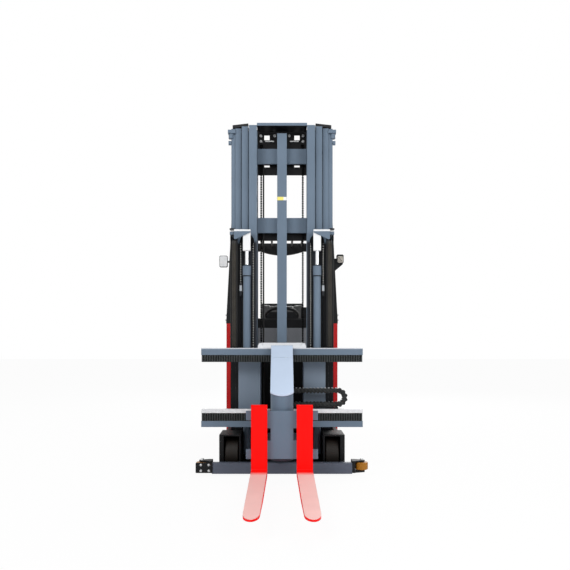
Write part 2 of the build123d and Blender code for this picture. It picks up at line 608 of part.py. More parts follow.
outer_x = RAM_X + SHEAVE_R
save("anchor_chains", *pair(strand(outer_x, (ANCHOR_Z + 40, SHEAVE_Z))))
save("carriage_chains", *pair(strand(chain_in, (upper_top - 35, SHEAVE_Z))))
anchor = block((outer_x - 9, outer_x + 9), (CHAIN_Y - 9, CHAIN_Y + 9), (ANCHOR_Z - 60, ANCHOR_Z + 40))
anchor += block((INNER_X[1] - 6, outer_x + 9), (CHAIN_Y + 9, CHAIN_Y + 15), (ANCHOR_Z - 60, ANCHOR_Z - 20))
leg_z = (ANCHOR_Z - 60, ANCHOR_Z - 20)
anchor += block((chain_in + 14 + FREE, INNER_X[1] - 6), (CHAIN_Y + 9, INNER_Y), leg_z)
save("chain_anchors", *pair(anchor))

# Hoses hanging from the clamps to the carriage
hose_top = top - 22
hoses = [along_z(6.5, OUTER_X[1] - 7 - 15 * i, RAM_Y + 8, (upper_top - 30, hose_top)) for i in range(4)]
save("lift_hoses", *[h for hose in hoses for h in pair(hose)])
clip = block((PLATE_X[1], OUTER_X[1]), (BEAM_Y[1] + 4, RAM_Y + 20), (upper_top - 70, upper_top - 30))
save("carriage_brackets", tray, *pair(clip))

# Chassis: nose beam, deck, wheel boxes, side members and the cradle under the battery
wheel_in = LOAD_WHEEL_X - LOAD_WHEEL_W / 2 - WHEEL_GAP
wheel_out = LOAD_WHEEL_X + LOAD_WHEEL_W / 2 + WHEEL_GAP
box_y = (HEAD_BACK_Y + FREE, LOAD_WHEEL_Y + LOAD_WHEEL_R + WHEEL_GAP + BOX_T)
box_top = 2 * LOAD_WHEEL_R + 20
chassis = block((-NOSE_HALF, NOSE_HALF), (NOSE_Y, NOSE_Y + 50), NOSE_Z)
deck = [(-NOSE_HALF, NOSE_Y + 50), (-wheel_out - LEG_T, box_y[0]), (-wheel_in, box_y[0]),
        (-wheel_in, box_y[1]), (-OUTER_X[1], box_y[1]), (-OUTER_X[1], 300)]
deck += [(-x, y) for x, y in reversed(deck)]
chassis += plan(deck, DECK_Z)
arm = block((wheel_in - BOX_T, wheel_out + LEG_T), box_y, (DECK_Z[0], box_top + BOX_T))
arm -= block((wheel_in, wheel_out), (box_y[0] - 1, box_y[1] - BOX_T), (0, box_top))
chassis += arm + mirror(arm, about=Plane.YZ)
rail_y = (box_y[1], DRIVE_Y - WELL_R - 8)
member_x = (OUTER_X[1] + MEMBER_GAP, OUTER_X[1] + MEMBER_GAP + MEMBER_T)
save("side_members", *pair(block(member_x, rail_y, (DECK_Z[0], box_top + BOX_T))))
chassis += block((-member_x[0], member_x[0]), (300, rail_y[1]), DECK_Z)
axle = along_x(AXLE_R, (wheel_in, wheel_out), LOAD_WHEEL_Y, LOAD_WHEEL_R)
chassis += axle + mirror(axle, about=Plane.YZ)
save("chassis_frame", chassis)


def wheel(r, x, y, bore, hub, width):
    """Solid tyre on a dished centre with a running bore."""
    lo, hi = x - width / 2, x + width / 2
    tyre = along_x(r, (lo, hi), y, r)
    tyre = chamfer(tyre.edges().filter_by(GeomType.CIRCLE), 6)
    for end in ((lo - 1, lo + 12), (hi - 12, hi + 1)):
        tyre -= along_x(r * 0.68, end, y, r) - along_x(hub, end, y, r)
    return tyre - along_x(bore, (lo - 1, hi + 1), y, r)


for name, s in (("left", 1), ("right", -1)):
    tyre = wheel(LOAD_WHEEL_R, s * LOAD_WHEEL_X, LOAD_WHEEL_Y, AXLE_R + RUN, 45, LOAD_WHEEL_W)
    save(f"load_wheel_{name}", tyre)
    spin = along_z(ROLLER_R, s * ROLLER_X, ROLLER_Y, ROLLER_Z)
    spin = chamfer(spin.edges().filter_by(GeomType.CIRCLE), 4)
    save(f"guide_roller_{name}", spin - along_z(14 + RUN, s * ROLLER_X, ROLLER_Y, (0, 200)))

# Guide roller brackets on the ends of the nose beam
lug = block((NOSE_HALF, NOSE_HALF + 22), (NOSE_Y, NOSE_Y + 90), (NOSE_Z[0] + 6, NOSE_Z[1] + 14))
for z in ((NOSE_Z[0] + 6, ROLLER_Z[0] - 6), (ROLLER_Z[1] + 4, NOSE_Z[1] + 14)):
    ear = [(NOSE_HALF + 22, NOSE_Y + 8), (ROLLER_X - 8, NOSE_Y + 22), (ROLLER_X + 22, ROLLER_Y - 10),
           (ROLLER_X + 22, ROLLER_Y + 18), (NOSE_HALF + 22, NOSE_Y + 90)]
    lug += plan(ear, z)
lug += along_z(14, ROLLER_X, ROLLER_Y, (NOSE_Z[0] + 6, NOSE_Z[1] + 14))
save("guide_brackets", *pair(lug))

# Drive unit: steering turntable, gear leg and axle, with the wheel beside it
axle_z = DRIVE_R
unit = along_z(150, 0, DRIVE_Y, (WELL_Z - 46, WELL_Z - 6))
unit += along_z(60, 0, DRIVE_Y, (WELL_Z - 6, WELL_Z + 60))
leg_x = (DRIVE_W / 2 + 12, DRIVE_W / 2 + 52)
unit += block(leg_x, (DRIVE_Y - 70, DRIVE_Y + 70), (axle_z, WELL_Z - 46))
unit += along_x(90, leg_x, DRIVE_Y, axle_z)
unit += along_x(30, (-DRIVE_W / 2 - 8, leg_x[0]), DRIVE_Y, axle_z)
save("drive_unit", unit)
save("drive_wheel", wheel(DRIVE_R, 0, DRIVE_Y, 30 + RUN, 62, DRIVE_W))

# Counterweight: casting with rounded rear corners round the drive wheel, and the hood above it
half = BODY_HALF + 16
y_front = HOOD_Y[1]


def rounded_back(half, y, corner, z):
    shape = outline([(-half, y[0]), (half, y[0]), (half, y[1]), (-half, y[1])])
    shape = fillet([v for v in shape.vertices() if v.Y > y[1] - 1], corner)
    return Pos(0, 0, z[0]) * extrude(shape, z[1] - z[0])


skirt_z = WEIGHT_Z[0] + 90
weight = rounded_back(half, (y_front, REAR_Y), 190, (skirt_z, WEIGHT_Z[1]))
weight += rounded_back(half - 22, (y_front, REAR_Y - 22), 170, (WEIGHT_Z[0], skirt_z))
weight -= block((-WELL_R, WELL_R), (DRIVE_Y - WELL_R, DRIVE_Y + WELL_R), (0, WELL_Z))
weight -= along_z(60 + RUN, 0, DRIVE_Y, (WELL_Z - 1, WELL_Z + 62))
jaw = (420.0, 510.0)
weight -= block((-70, 70), (REAR_Y - 95, REAR_Y + 1), jaw)
weight -= block((-46, 46), (REAR_Y - 72, REAR_Y + 1), (jaw[1] + 40, WEIGHT_Z[1] + 1))
weight -= along_z(TOW_R, 0, REAR_Y - 40, (jaw[0] - 60, jaw[1] + 41))
save("counterweight", weight)

hood_half = half - 14
hood_shape = [(y_front + 8, WEIGHT_Z[1]), (REAR_Y - 14, WEIGHT_Z[1]), (REAR_Y - 14, WEIGHT_Z[1] + 60),
              (REAR_Y - 240, REAR_TOP), (y_front + 8, REAR_TOP)]
hood = side(hood_shape, (-hood_half, hood_half)) & rounded_back(
    hood_half, (y_front, REAR_Y - 14), 178, (WEIGHT_Z[1], REAR_TOP + 1))
hood -= block((-50, 50), (REAR_Y - 80, REAR_Y), (WEIGHT_Z[1] - 1, REAR_TOP))
for i in range(7):
    y = y_front + 120 + i * 42
    hood -= block((-260, 260), (y, y + 16), (REAR_TOP - 14, REAR_TOP + 1))
save("rear_hood", hood)

# Battery block between the side members, under the seat
bat = (-member_x[0] + MEMBER_GAP, member_x[0] - MEMBER_GAP)
save("battery", block(bat, (HOOD_Y[0] + 30, DRIVE_Y - WELL_R - 12), (DECK_Z[1], HOOD_Z - 30)))

# Body sides: the right side closed, the left with the step-in opening
y0, y1 = COWL_Y, HOOD_Y[1]
waist = (HOOD_Y[0] + 20, HOOD_Z)
shoulder = (HOOD_Y[0] - 130, HOOD_Z + 150)
flank = outline([(y0, BODY_Z[0]), (y1, BODY_Z[0]), (y1, HOOD_Z), waist, shoulder, (y0 + 330, BODY_Z[1] - 70),
                 (y0 + 70, BODY_Z[1]), (y0, BODY_Z[1])])
flank = fillet([v for v in flank.vertices() if y0 + 60 < v.X < y1 - 10 and v.Y > HOOD_Z - 1], 60)
entry = outline([(y0 + 190, FLOOR_Z), (HOOD_Y[0] - 24, FLOOR_Z), (HOOD_Y[0] - 24, 2000), (y0 + 190, 2000)])
entry = fillet([v for v in entry.vertices() if v.Y < FLOOR_Z + 1], 70)
step = outline([(y0 + 230, 190), (HOOD_Y[0] - 70, 190), (HOOD_Y[0] - 70, 320), (y0 + 230, 320)])
step = fillet(step.vertices(), 30)
wall_x = (BODY_HALF - WALL, BODY_HALF)
closed = Pos(-wall_x[1], 0, 0) * extrude(Plane.YZ * flank, WALL)
save("body_sides", closed, Pos(wall_x[0], 0, 0) * extrude(Plane.YZ * (flank - entry - step), WALL))

inner = (-wall_x[0], wall_x[0])
save("cab_cowl", block(inner, (y0, y0 + 30), (300, COWL_TOP)))
save("cab_floor", block(inner, (y0 + 30, HOOD_Y[0]), (FLOOR_Z - 20, FLOOR_Z)),
     block(inner, (HOOD_Y[0], HOOD_Y[0] + 24), (300, HOOD_Z - 30)))
save("battery_hood", block(inner, (HOOD_Y[0] - 20, HOOD_Y[1] - 6), (HOOD_Z - 30, HOOD_Z + 40)))
dash_x = wall_x[0] - 2
dash = side([(y0, COWL_TOP), (y0, DASH_TOP - 12), (y0 + 14, DASH_TOP), (y0 + 250, DASH_TOP - 30),
             (y0 + 260, COWL_TOP)],
            (-dash_x, dash_x))
pod = front([(-140, DASH_TOP - 40), (140, DASH_TOP - 40), (140, DASH_TOP + 14), (108, DASH_TOP + 54),
             (-108, DASH_TOP + 54), (-140, DASH_TOP + 14)], (y0 + 20, y0 + 150))
box = block((165, 250), (y0 + 30, y0 + 120), (DASH_TOP - 40, DASH_TOP + 97))
box = fillet(box.edges().filter_by(Axis.Y).sort_by(Axis.Z)[-2:], 16)
save("dashboard", dash + pod + box)

# Seat with its control arm, pedals, column and wheel
seat_z = HOOD_Z + 40
pan_z = seat_z + 60
cushion_z = pan_z + 100
back_z = (cushion_z + FREE, BACK_TOP)
lean = 60 / 390


def rest_y(z):
    """Rear face of the seat back, which leans with height."""
    return SEAT_Y[1] + 60 + (z - cushion_z) * lean


shell = [(rest_y(pan_z) + RUN, pan_z), (rest_y(pan_z) + 18, pan_z), (rest_y(back_z[1]) + 18, back_z[1]),
         (rest_y(back_z[1]) + RUN, back_z[1])]
pan = block((-SEAT_HALF + 45, SEAT_HALF - 45), (SEAT_Y[0] + 50, rest_y(pan_z) + 18), (seat_z, pan_z))
save("seat_base", pan + side(shell, (-SEAT_HALF + 15, SEAT_HALF - 15)))
back = [(rest_y(back_z[0]) - 100, back_z[0]), (rest_y(back_z[0]), back_z[0]), (rest_y(back_z[1]), back_z[1]),
        (rest_y(back_z[1]) - 80, back_z[1])]
save("seat_cushions", block((-SEAT_HALF, SEAT_HALF), SEAT_Y, (pan_z, cushion_z)),
     side(back, (-SEAT_HALF + 5, SEAT_HALF - 5)))
arm_z = cushion_z + ARM_RISE
arm_y = (SEAT_Y[0] + 40, SEAT_Y[1] - 80)
arm_box = [(arm_y[0], arm_z), (arm_y[1], arm_z), (arm_y[1], arm_z + 46), (arm_y[0] + 40, arm_z + 60),
           (arm_y[0], arm_z + 40)]
arm_x = (-SEAT_HALF - 95, -SEAT_HALF - 27)
support = block((arm_x[0] + 14, arm_x[1] - 14), (arm_y[1] - 100, arm_y[1] - 30), (seat_z, arm_z))
arm = side(arm_box, arm_x) + support
for x in (arm_x[0] + 18, arm_x[1] - 20):
    lever_y = arm_y[0] + 50
    arm += along_z(7, x, lever_y, (arm_z + 30, arm_z + 110))
    arm += Pos(x, lever_y, arm_z + 116) * Sphere(12)
save("control_arm", arm)
tread = [(PEDAL_Y, FLOOR_Z), (PEDAL_Y + 14, FLOOR_Z), (PEDAL_Y - 30, FLOOR_Z + 120),
         (PEDAL_Y - 44, FLOOR_Z + 120)]
pedals = [side(tread, x) for x in ((-250, -180), (130, 210))]
save("pedals", *pedals)
rake = 24.0
stand_y, stand_z = 690.0, 900.0
slope_y = 70.0
stand_top = stand_z + slope_y * math.tan(math.radians(rake))
pedestal = [(y0 + 30, FLOOR_Z), (stand_y, FLOOR_Z), (stand_y, stand_z), (stand_y - slope_y, stand_top),
            (y0 + 30, stand_top)]
stem_len = 330.0
tilt = Pos(0, stand_y - slope_y / 2, (stand_z + stand_top) / 2) * Rot(-rake, 0, 0)
stem = tilt * Pos(0, 0, (stem_len - 8) / 2 - 5) * Cylinder(22, stem_len + 2)
save("steering_column", side(pedestal, (-90, 90)) + stem)
rim = tilt * Pos(0, 0, stem_len + 10) * Torus(150, 13)
hub = tilt * Pos(0, 0, stem_len + 6) * Cylinder(34, 28)
spoke = Pos(86, 0, 0) * Box(112, 24, 8)
spokes = [tilt * Pos(0, 0, stem_len + 6) * Rot(0, 0, a) * spoke for a in (90, 210, 330)]
save("steering_wheel", rim + hub + spokes[0] + spokes[1] + spokes[2])

# Overhead guard: leaning front posts, upright rear posts, side rails and roof bars
foot_y, head_y = y0 + 8, ROOF_Y[0]
high_x = GUARD_HALF
post_x = (high_x - POST_T, high_x)
post = [(foot_y, BODY_Z[1]), (foot_y + POST, BODY_Z[1]), (head_y + POST, ROOF_Z[1]), (head_y, ROOF_Z[1])]
leg = side(post, post_x)
guard = leg + mirror(leg, about=Plane.YZ)
rear = block(post_x, (ROOF_Y[1] - POST, ROOF_Y[1]), (REAR_TOP, ROOF_Z[1]))
rails = block(post_x, (head_y, ROOF_Y[1]), ROOF_Z)
for piece in (rear, rails):
    guard += piece + mirror(piece, about=Plane.YZ)
guard += block((-high_x, high_x), (head_y, head_y + POST), ROOF_Z)
guard += block((-high_x, high_x), (ROOF_Y[1] - POST, ROOF_Y[1]), (ROOF_Z[0] - 20, ROOF_Z[1]))
for i in range(-3, 4):
    x = i * post_x[0] / 4
    guard += block((x - 10, x + 10), (head_y, ROOF_Y[1]), (ROOF_Z[0] + 20, ROOF_Z[1] - 10))
save("overhead_guard", guard)

# Mirror outside the right post, lamp on a gusset outside the left
mirror_y = foot_y + 330
look = block((-high_x - 91, -high_x - 16), (mirror_y, mirror_y + 26), (1665, 1770))
look = chamfer(look.edges().filter_by(Axis.Y), 8)
look += along_x(8, (-high_x - 18, -high_x), mirror_y + 14, 1715)
lamp = block((high_x + 18, high_x + 82), (mirror_y - 6, mirror_y + 34), (1700, 1780))
lamp = chamfer(lamp.edges().filter_by(Axis.Y), 8)
gusset = [(high_x, 1628), (high_x, 1745), (high_x + 20, 1745), (high_x + 76, 1702), (high_x + 76, 1692)]
lamp += front(gusset, (mirror_y + 10, mirror_y + 18))
save("mirrors", look)
save("work_lamp", lamp)
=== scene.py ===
"""Narrow aisle truck with a traversing, swivelling fork head: finishes, fasteners, chains, hoses and trim."""
import math

import bpy
import numpy as np
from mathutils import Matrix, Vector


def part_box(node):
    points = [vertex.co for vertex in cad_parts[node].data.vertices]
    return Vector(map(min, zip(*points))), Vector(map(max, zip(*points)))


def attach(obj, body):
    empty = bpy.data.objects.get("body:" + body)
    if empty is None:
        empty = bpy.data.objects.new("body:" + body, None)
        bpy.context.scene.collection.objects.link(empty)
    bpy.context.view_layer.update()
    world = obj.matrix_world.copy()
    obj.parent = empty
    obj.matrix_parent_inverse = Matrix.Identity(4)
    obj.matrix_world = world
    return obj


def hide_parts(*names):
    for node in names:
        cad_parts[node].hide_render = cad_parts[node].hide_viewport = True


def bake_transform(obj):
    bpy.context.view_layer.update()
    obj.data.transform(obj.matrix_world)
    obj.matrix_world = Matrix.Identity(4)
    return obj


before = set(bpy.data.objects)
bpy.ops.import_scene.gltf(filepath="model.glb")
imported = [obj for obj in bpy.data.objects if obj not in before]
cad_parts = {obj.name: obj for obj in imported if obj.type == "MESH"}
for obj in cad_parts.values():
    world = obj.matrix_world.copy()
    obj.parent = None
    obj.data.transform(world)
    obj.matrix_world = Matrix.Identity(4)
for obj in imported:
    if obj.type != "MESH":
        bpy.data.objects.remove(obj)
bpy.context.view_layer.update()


# Chassis: flame-cut plate welded into a nose beam, wheel boxes and side members, sprayed in slate enamel on
# the nose and painted black behind it as painted shade; the paint rubs through to primer at the corners.
# Hexagon screws hold the guide rollers' brackets and a guard plate on the nose.
def shade(tree, kind, feeds, **settings):
    """One shader node: settings set its properties, feeds its sockets by name or place, as value or link."""
    made = tree.nodes.new("ShaderNode" + kind)
    for key, value in settings.items():
        setattr(made, key, value)
    for key, value in feeds.items():
        if isinstance(value, bpy.types.NodeSocket):
            tree.links.new(value, made.inputs[key])
        else:
            made.inputs[key].default_value = value
    return made


def ink(red, green, blue):
    """A colour read as 0-255 display values, as the linear values that shaders take."""
    c = np.array([red, green, blue]) / 255.0
    line = np.where(c <= 0.04045, c / 12.92, ((c + 0.055) / 1.055) ** 2.4)
    return (*line.tolist(), 1.0)


def blank(name):
    """An empty finish: its node tree, its main shader and the truck's own coordinates."""
    finish = bpy.data.materials.new(name)
    finish.use_nodes = True
    tree = finish.node_tree
    return finish, tree, tree.nodes["Principled BSDF"], shade(tree, "TexCoord", {}).outputs["Object"]


def times(tree, first, second):
    """The product of two values."""
    return shade(tree, "Math", {0: first, 1: second}, operation="MULTIPLY").outputs[0]


def mixed(tree, share, colour, other):
    """The colour, gone over to the other one by share."""
    return shade(tree, "Mix", {0: share, 6: colour, 7: other}, data_type="RGBA").outputs[2]


def noise(tree, place, scale, detail):
    """Cloudy noise over a place, about 0.5: scale sets how small the clouds are, detail how ragged."""
    return shade(tree, "TexNoise", {"Vector": place, "Scale": scale, "Detail": detail}).outputs[0]


def between(tree, value, low, high, to_low, to_high):
    """The value's range from low to high, stretched to a new range and held at its ends."""
    return shade(tree, "MapRange", {0: value, 1: low, 2: high, 3: to_low, 4: to_high}).outputs[0]


def corner_mask(tree, radius):
    """Rounded normal, and how far it leans from the true one: near 0 on a flat, rising to 1 on a corner."""
    soft = shade(tree, "Bevel", {"Radius": radius}, samples=4).outputs[0]
    true = shade(tree, "NewGeometry", {}).outputs["Normal"]
    lean = shade(tree, "VectorMath", {0: soft, 1: true}, operation="DOT_PRODUCT").outputs["Value"]
    return soft, between(tree, lean, 0.995, 0.86, 0.0, 1.0)


def reach(tree, place, axis, low, high, fade=0.0015):
    """1 from low to high along an axis (0 is x, 1 y, 2 z), 0 outside, with a short ramp of twice the fade."""
    along = shade(tree, "SeparateXYZ", {0: place}).outputs[axis]
    rise = between(tree, along, low - fade, low + fade, 0.0, 1.0)
    fall = between(tree, along, high - fade, high + fade, 1.0, 0.0)
    return times(tree, rise, fall)


def two_tone(tree, place, colour, second, spans):
    """The colour, and the second one where the place lies in every span."""
    if not second:
        return colour[:3]
    there = 1.0
    for span in spans:
        there = times(tree, there, reach(tree, place, *span))
    return mixed(tree, there, colour, second)


def enamel(name, colour, under, rough=0.4, peel=0.05, rub=0.6, shine=0.2, second=None, spans=()):
    """Sprayed enamel. Colour drifts by up to an eighth over the panel; corners that a coarse speckle picks
    out show what lies under the paint; roughness follows the drift; a fine ripple gives the orange peel."""
    finish, tree, skin, place = blank(name)
    drift = noise(tree, place, 2.6, 4.0)
    speck = noise(tree, place, 55.0, 5.0)
    ripple = noise(tree, place, 420.0, 1.0)
    soft, corner = corner_mask(tree, 0.0035)
    chip = between(tree, speck, 0.5, 0.64, 0.0, rub)
    worn = times(tree, corner, chip)
    base = two_tone(tree, place, colour, second, spans)
    tone = between(tree, drift, 0.3, 0.7, 0.88, 1.0)
    body = shade(tree, "VectorMath", {0: base, "Scale": tone}, operation="SCALE").outputs["Vector"]
    seen = mixed(tree, worn, body, under)
    tree.links.new(seen, skin.inputs["Base Color"])
    tree.links.new(between(tree, drift, 0.3, 0.7, rough - 0.05, rough + 0.07), skin.inputs["Roughness"])
    skin.inputs["Specular IOR Level"].default_value = shine
    bump = shade(tree, "Bump", {"Strength": peel, "Distance": 0.001, "Height": ripple, "Normal": soft})
    tree.links.new(bump.outputs[0], skin.inputs["Normal"])
    return finish


def coat(finish, *nodes):
    """Gives the named CAD solids a finish."""
    for node in nodes:
        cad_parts[node].data.materials.clear()
        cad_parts[node].data.materials.append(finish)


primer = ink(60, 56, 54)
nose_back, beyond = -0.715, 9.0
# Black from the nose's back edge rearwards is painted shade over the deck and wheel boxes.
chassis_shade_behind_nose = enamel("chassis_shade_behind_nose", ink(93, 100, 114), primer, rough=0.46, second=ink(17, 18, 20),
                        spans=[(1, nose_back, beyond)])
coat(chassis_shade_behind_nose, "chassis_frame", "side_members")


def skinned(grid):
    """Faces over a stack of closed rings (rings, points, xyz): quads between neighbours, both ends filled."""
    rings, n = grid.shape[:2]
    i, j = np.indices((rings - 1, n))
    k = (j + 1) % n
    quads = np.stack([i * n + j, i * n + k, (i + 1) * n + k, (i + 1) * n + j], -1).reshape(-1, 4).tolist()
    ends = [np.arange(n)[::-1].tolist(), ((rings - 1) * n + np.arange(n)).tolist()]
    return grid.reshape(-1, 3), quads + ends


def turned(profile, sides):
    """A turned part: rings of (radius, height) swept round +Z, sides points to a ring."""
    r, h = np.array(profile, float).T
    a = np.arange(sides) * 2 * np.pi / sides
    return skinned(np.stack([r[:, None] * np.cos(a), r[:, None] * np.sin(a), h[:, None] + 0 * a], -1))


def rounded(width, height, r, steps=4):
    """Rectangle outline with round corners: a quarter circle about each corner's centre."""
    a = np.linspace(0.0, np.pi / 2, steps)
    turn = (np.arange(4)[:, None] * np.pi / 2 + a).ravel()
    signs = np.repeat([(1, 1), (-1, 1), (-1, -1), (1, -1)], steps, axis=0)
    return signs * (width / 2 - r, height / 2 - r) + r * np.stack([np.cos(turn), np.sin(turn)], -1)


def moulded(outline, stack):
    """A flat outline built up in height: each (height, inset) ring drawn in along the outline's normals."""
    ahead = np.roll(outline, -1, 0) - np.roll(outline, 1, 0)
    normal = np.stack([ahead[:, 1], -ahead[:, 0]], -1) / np.linalg.norm(ahead, axis=1, keepdims=True)
    h, inset = np.array(stack, float).T
    flat = outline[None] - inset[:, None, None] * normal[None]
    return skinned(np.concatenate([flat, np.broadcast_to(h[:, None, None], flat.shape[:2] + (1,))], -1))


def together(*shapes):
    """Several shapes as one list of points and faces."""
    starts = np.cumsum([0] + [len(points) for points, faces in shapes]).tolist()
    faces = [[v + start for v in face] for start, (points, fs) in zip(starts, shapes) for face in fs]
    return np.concatenate([points for points, fs in shapes]), faces


def set_out(shape, spots, axis, side=(1.0, 0.0, 0.0)):
    """Copies of a shape made on +Z, one per spot: Z turns to the axis, X to the side made square to it."""
    points, faces = shape
    spots = np.asarray(spots, float).reshape(-1, 3)
    z = np.broadcast_to(np.asarray(axis, float), spots.shape)
    z = z / np.linalg.norm(z, axis=1, keepdims=True)
    x = np.broadcast_to(np.asarray(side, float), spots.shape)
    x = x - np.sum(x * z, 1, keepdims=True) * z
    x = x / np.linalg.norm(x, axis=1, keepdims=True)
    turn = np.stack([x, np.cross(z, x), z], 1)
    every = np.einsum("pc,lcd->lpd", points, turn) + spots[:, None]
    n = len(points)
    return every.reshape(-1, 3), [[v + n * c for v in face] for c in range(len(spots)) for face in faces]


def fit(name, shape, finish, body=None, crease=35.0):
    """Puts points and faces into a mesh in the truck's frame, smooth but for edges sharper than crease."""
    points, faces = shape
    mesh = bpy.data.meshes.new(name)
    mesh.from_pydata(np.asarray(points).tolist(), [], faces)
    mesh.shade_smooth()
    mesh.set_sharp_from_angle(angle=math.radians(crease))
    mesh.materials.append(finish)
    made = bpy.data.objects.new(name, mesh)
    bpy.context.scene.collection.objects.link(made)
    if body:
        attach(made, body)
    return made


def hex_head(r):
    """Hexagon head of radius r over its corners, on a washer that stands on z = 0."""
    washer = turned([(1.25 * r, 0.0), (1.25 * r, 0.18 * r), (1.18 * r, 0.24 * r)], 16)
    return together(washer, turned([(r, 0.2 * r), (r, 0.8 * r), (0.84 * r, 0.95 * r)], 6))


def both_sides(spots):
    """The spots and their mirror images on the other side of the truck."""
    spots = np.asarray(spots, float).reshape(-1, 3)
    return np.concatenate([spots, spots * (-1.0, 1.0, 1.0)])


def oiled_steel(name, colour, dark, rough, film=0.85, thin=0.3, wiped=None):
    """Machined steel under an oil film: bright metal clouded by dark oil, rougher where the film is thick. A
    span may be wiped of most of its oil."""
    finish, tree, skin, place = blank(name)
    cloud = noise(tree, place, 32.0, 6.0)
    soft, corner = corner_mask(tree, 0.0012)
    oil = between(tree, cloud, 0.42, 0.62, film, thin * film)
    if wiped:
        left = between(tree, reach(tree, place, *wiped), 0.0, 1.0, 1.0, 0.15)
        oil = times(tree, oil, left)
    bare = shade(tree, "Math", {0: oil, 1: corner}, operation="SUBTRACT", use_clamp=True).outputs[0]
    seen = mixed(tree, bare, colour, dark)
    tree.links.new(seen, skin.inputs["Base Color"])
    skin.inputs["Metallic"].default_value = 0.9
    tree.links.new(between(tree, cloud, 0.3, 0.7, rough + 0.12, rough - 0.06), skin.inputs["Roughness"])
    tree.links.new(soft, skin.inputs["Normal"])
    return finish


zinc = oiled_steel("zinc_plate", ink(214, 216, 218), ink(130, 130, 128), rough=0.3, film=0.5)
bracket_black = enamel("bracket_black", ink(20, 21, 23), ink(96, 96, 98), rough=0.5, rub=0.4)
coat(bracket_black, "guide_brackets")
lug_low, lug_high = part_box("guide_brackets")
plate_wide, plate_tall, plate_thick = 0.122, 0.074, 0.006
plate_past, plate_mid_z = 0.021, 0.064
guard_spot = (lug_low.x + plate_wide / 2 - plate_past, lug_low.y, plate_mid_z)
plate = moulded(rounded(plate_wide, plate_tall, plate_thick),
                [(0.0, 0.0), (0.005, 0.0), (plate_thick, 0.001)])
fit("roller_guard", set_out(plate, [guard_spot], (0, -1, 0)), bracket_black, "chassis")
guard_bolt_r, guard_bolt_x, guard_bolt_z = 0.0075, (-0.023, 0.034), (-0.021, 0.021)
bolt_spots = np.array(guard_spot) + [(x, -plate_thick, z) for x in guard_bolt_x for z in guard_bolt_z]
axle_bolt_r, axle_in, axle_back = 0.012, 0.022, 0.002
axle_tops = both_sides([(lug_high.x - axle_in, (lug_low.y + lug_high.y) / 2 + axle_back, lug_high.z)])
nose_bolts = together(set_out(hex_head(guard_bolt_r), bolt_spots, (0, -1, 0)),
                      set_out(hex_head(axle_bolt_r), axle_tops, (0, 0, 1)))
fit("nose_bolts", nose_bolts, zinc, "chassis")


# Load wheels, drive wheel and guide rollers: polyurethane cast on steel centres, clear amber on the small
# rollers and a dull brown on the wheels that carry the truck.
def cast_tread(name, colour, rough, grain, second=None, spans=()):
    """Cast or moulded skin: a cloudy colour, paler on scuffed corners, matt and roughened by small pits."""
    finish, tree, skin, place = blank(name)
    cloud = noise(tree, place, 14.0, 5.0)
    pits = noise(tree, place, grain, 2.0)
    soft, corner = corner_mask(tree, 0.004)
    share = between(tree, cloud, 0.3, 0.7, 0.0, 1.0)
    base = two_tone(tree, place, colour, second, spans)
    tone = between(tree, cloud, 0.3, 0.7, 0.7, 1.0)
    seen = shade(tree, "VectorMath", {0: base, "Scale": tone}, operation="SCALE").outputs["Vector"]
    scuff_and_reflection = (*[min(c * 1.6 + 0.01, 1.0) for c in colour[:3]], 1.0)
    seen = mixed(tree, times(tree, corner, share), seen, scuff_and_reflection)
    tree.links.new(seen, skin.inputs["Base Color"])
    tree.links.new(between(tree, pits, 0.3, 0.7, rough - 0.08, rough + 0.1), skin.inputs["Roughness"])
    skin.inputs["Specular IOR Level"].default_value = 0.25
    bump = shade(tree, "Bump", {"Strength": 0.12, "Distance": 0.001, "Height": pits, "Normal": soft})
    tree.links.new(bump.outputs[0], skin.inputs["Normal"])
    return finish


coat(cast_tread("amber_tread", ink(178, 118, 34), rough=0.36, grain=300.0),
     "guide_roller_left", "guide_roller_right")
coat(cast_tread("wheel_tread", ink(36, 31, 27), rough=0.55, grain=260.0),
     "load_wheel_left", "load_wheel_right", "drive_wheel")


# Drive unit: a cast iron gear leg that hangs from its steering turntable, sprayed in dark slate enamel. Eight
# hexagon screws from below hold the leg to the turntable.
chassis_slate = enamel("chassis_slate", ink(78, 84, 98), primer, rough=0.46)
coat(chassis_slate, "drive_unit")
leg_low, leg_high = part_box("drive_unit")
leg_mid = (leg_low + leg_high) / 2
ring_r, ring_drop, ring_screw_r = 0.13, 0.106, 0.009
turn = np.arange(8) * np.pi / 4
ring = np.stack([leg_mid.x + ring_r * np.cos(turn), leg_mid.y + ring_r * np.sin(turn),
                 leg_high.z - ring_drop + 0 * turn], -1)
fit("turntable_bolts", set_out(hex_head(ring_screw_r), ring, (0, 0, -1)), zinc, "drive_unit")


# Body: pressed red sides, a cast weight behind with its hood, and the battery in its grey case between them.
# Domed screws hold the side panels to the frame and the hood to the weight.
body_red = enamel("body_red", ink(206, 18, 22), primer, rough=0.36, shine=0.3)
coat(body_red, "body_sides", "counterweight", "rear_hood")
coat(enamel("battery_grey", ink(66, 68, 72), primer, rough=0.55), "battery")


def round_screw(r):
    """Domed screw head of radius r with a driver recess, standing on z = 0."""
    return turned([(r, 0.0), (r, 0.15 * r), (0.8 * r, 0.42 * r), (0.5 * r, 0.52 * r), (0.42 * r, 0.52 * r),
                   (0.38 * r, 0.3 * r)], 16)


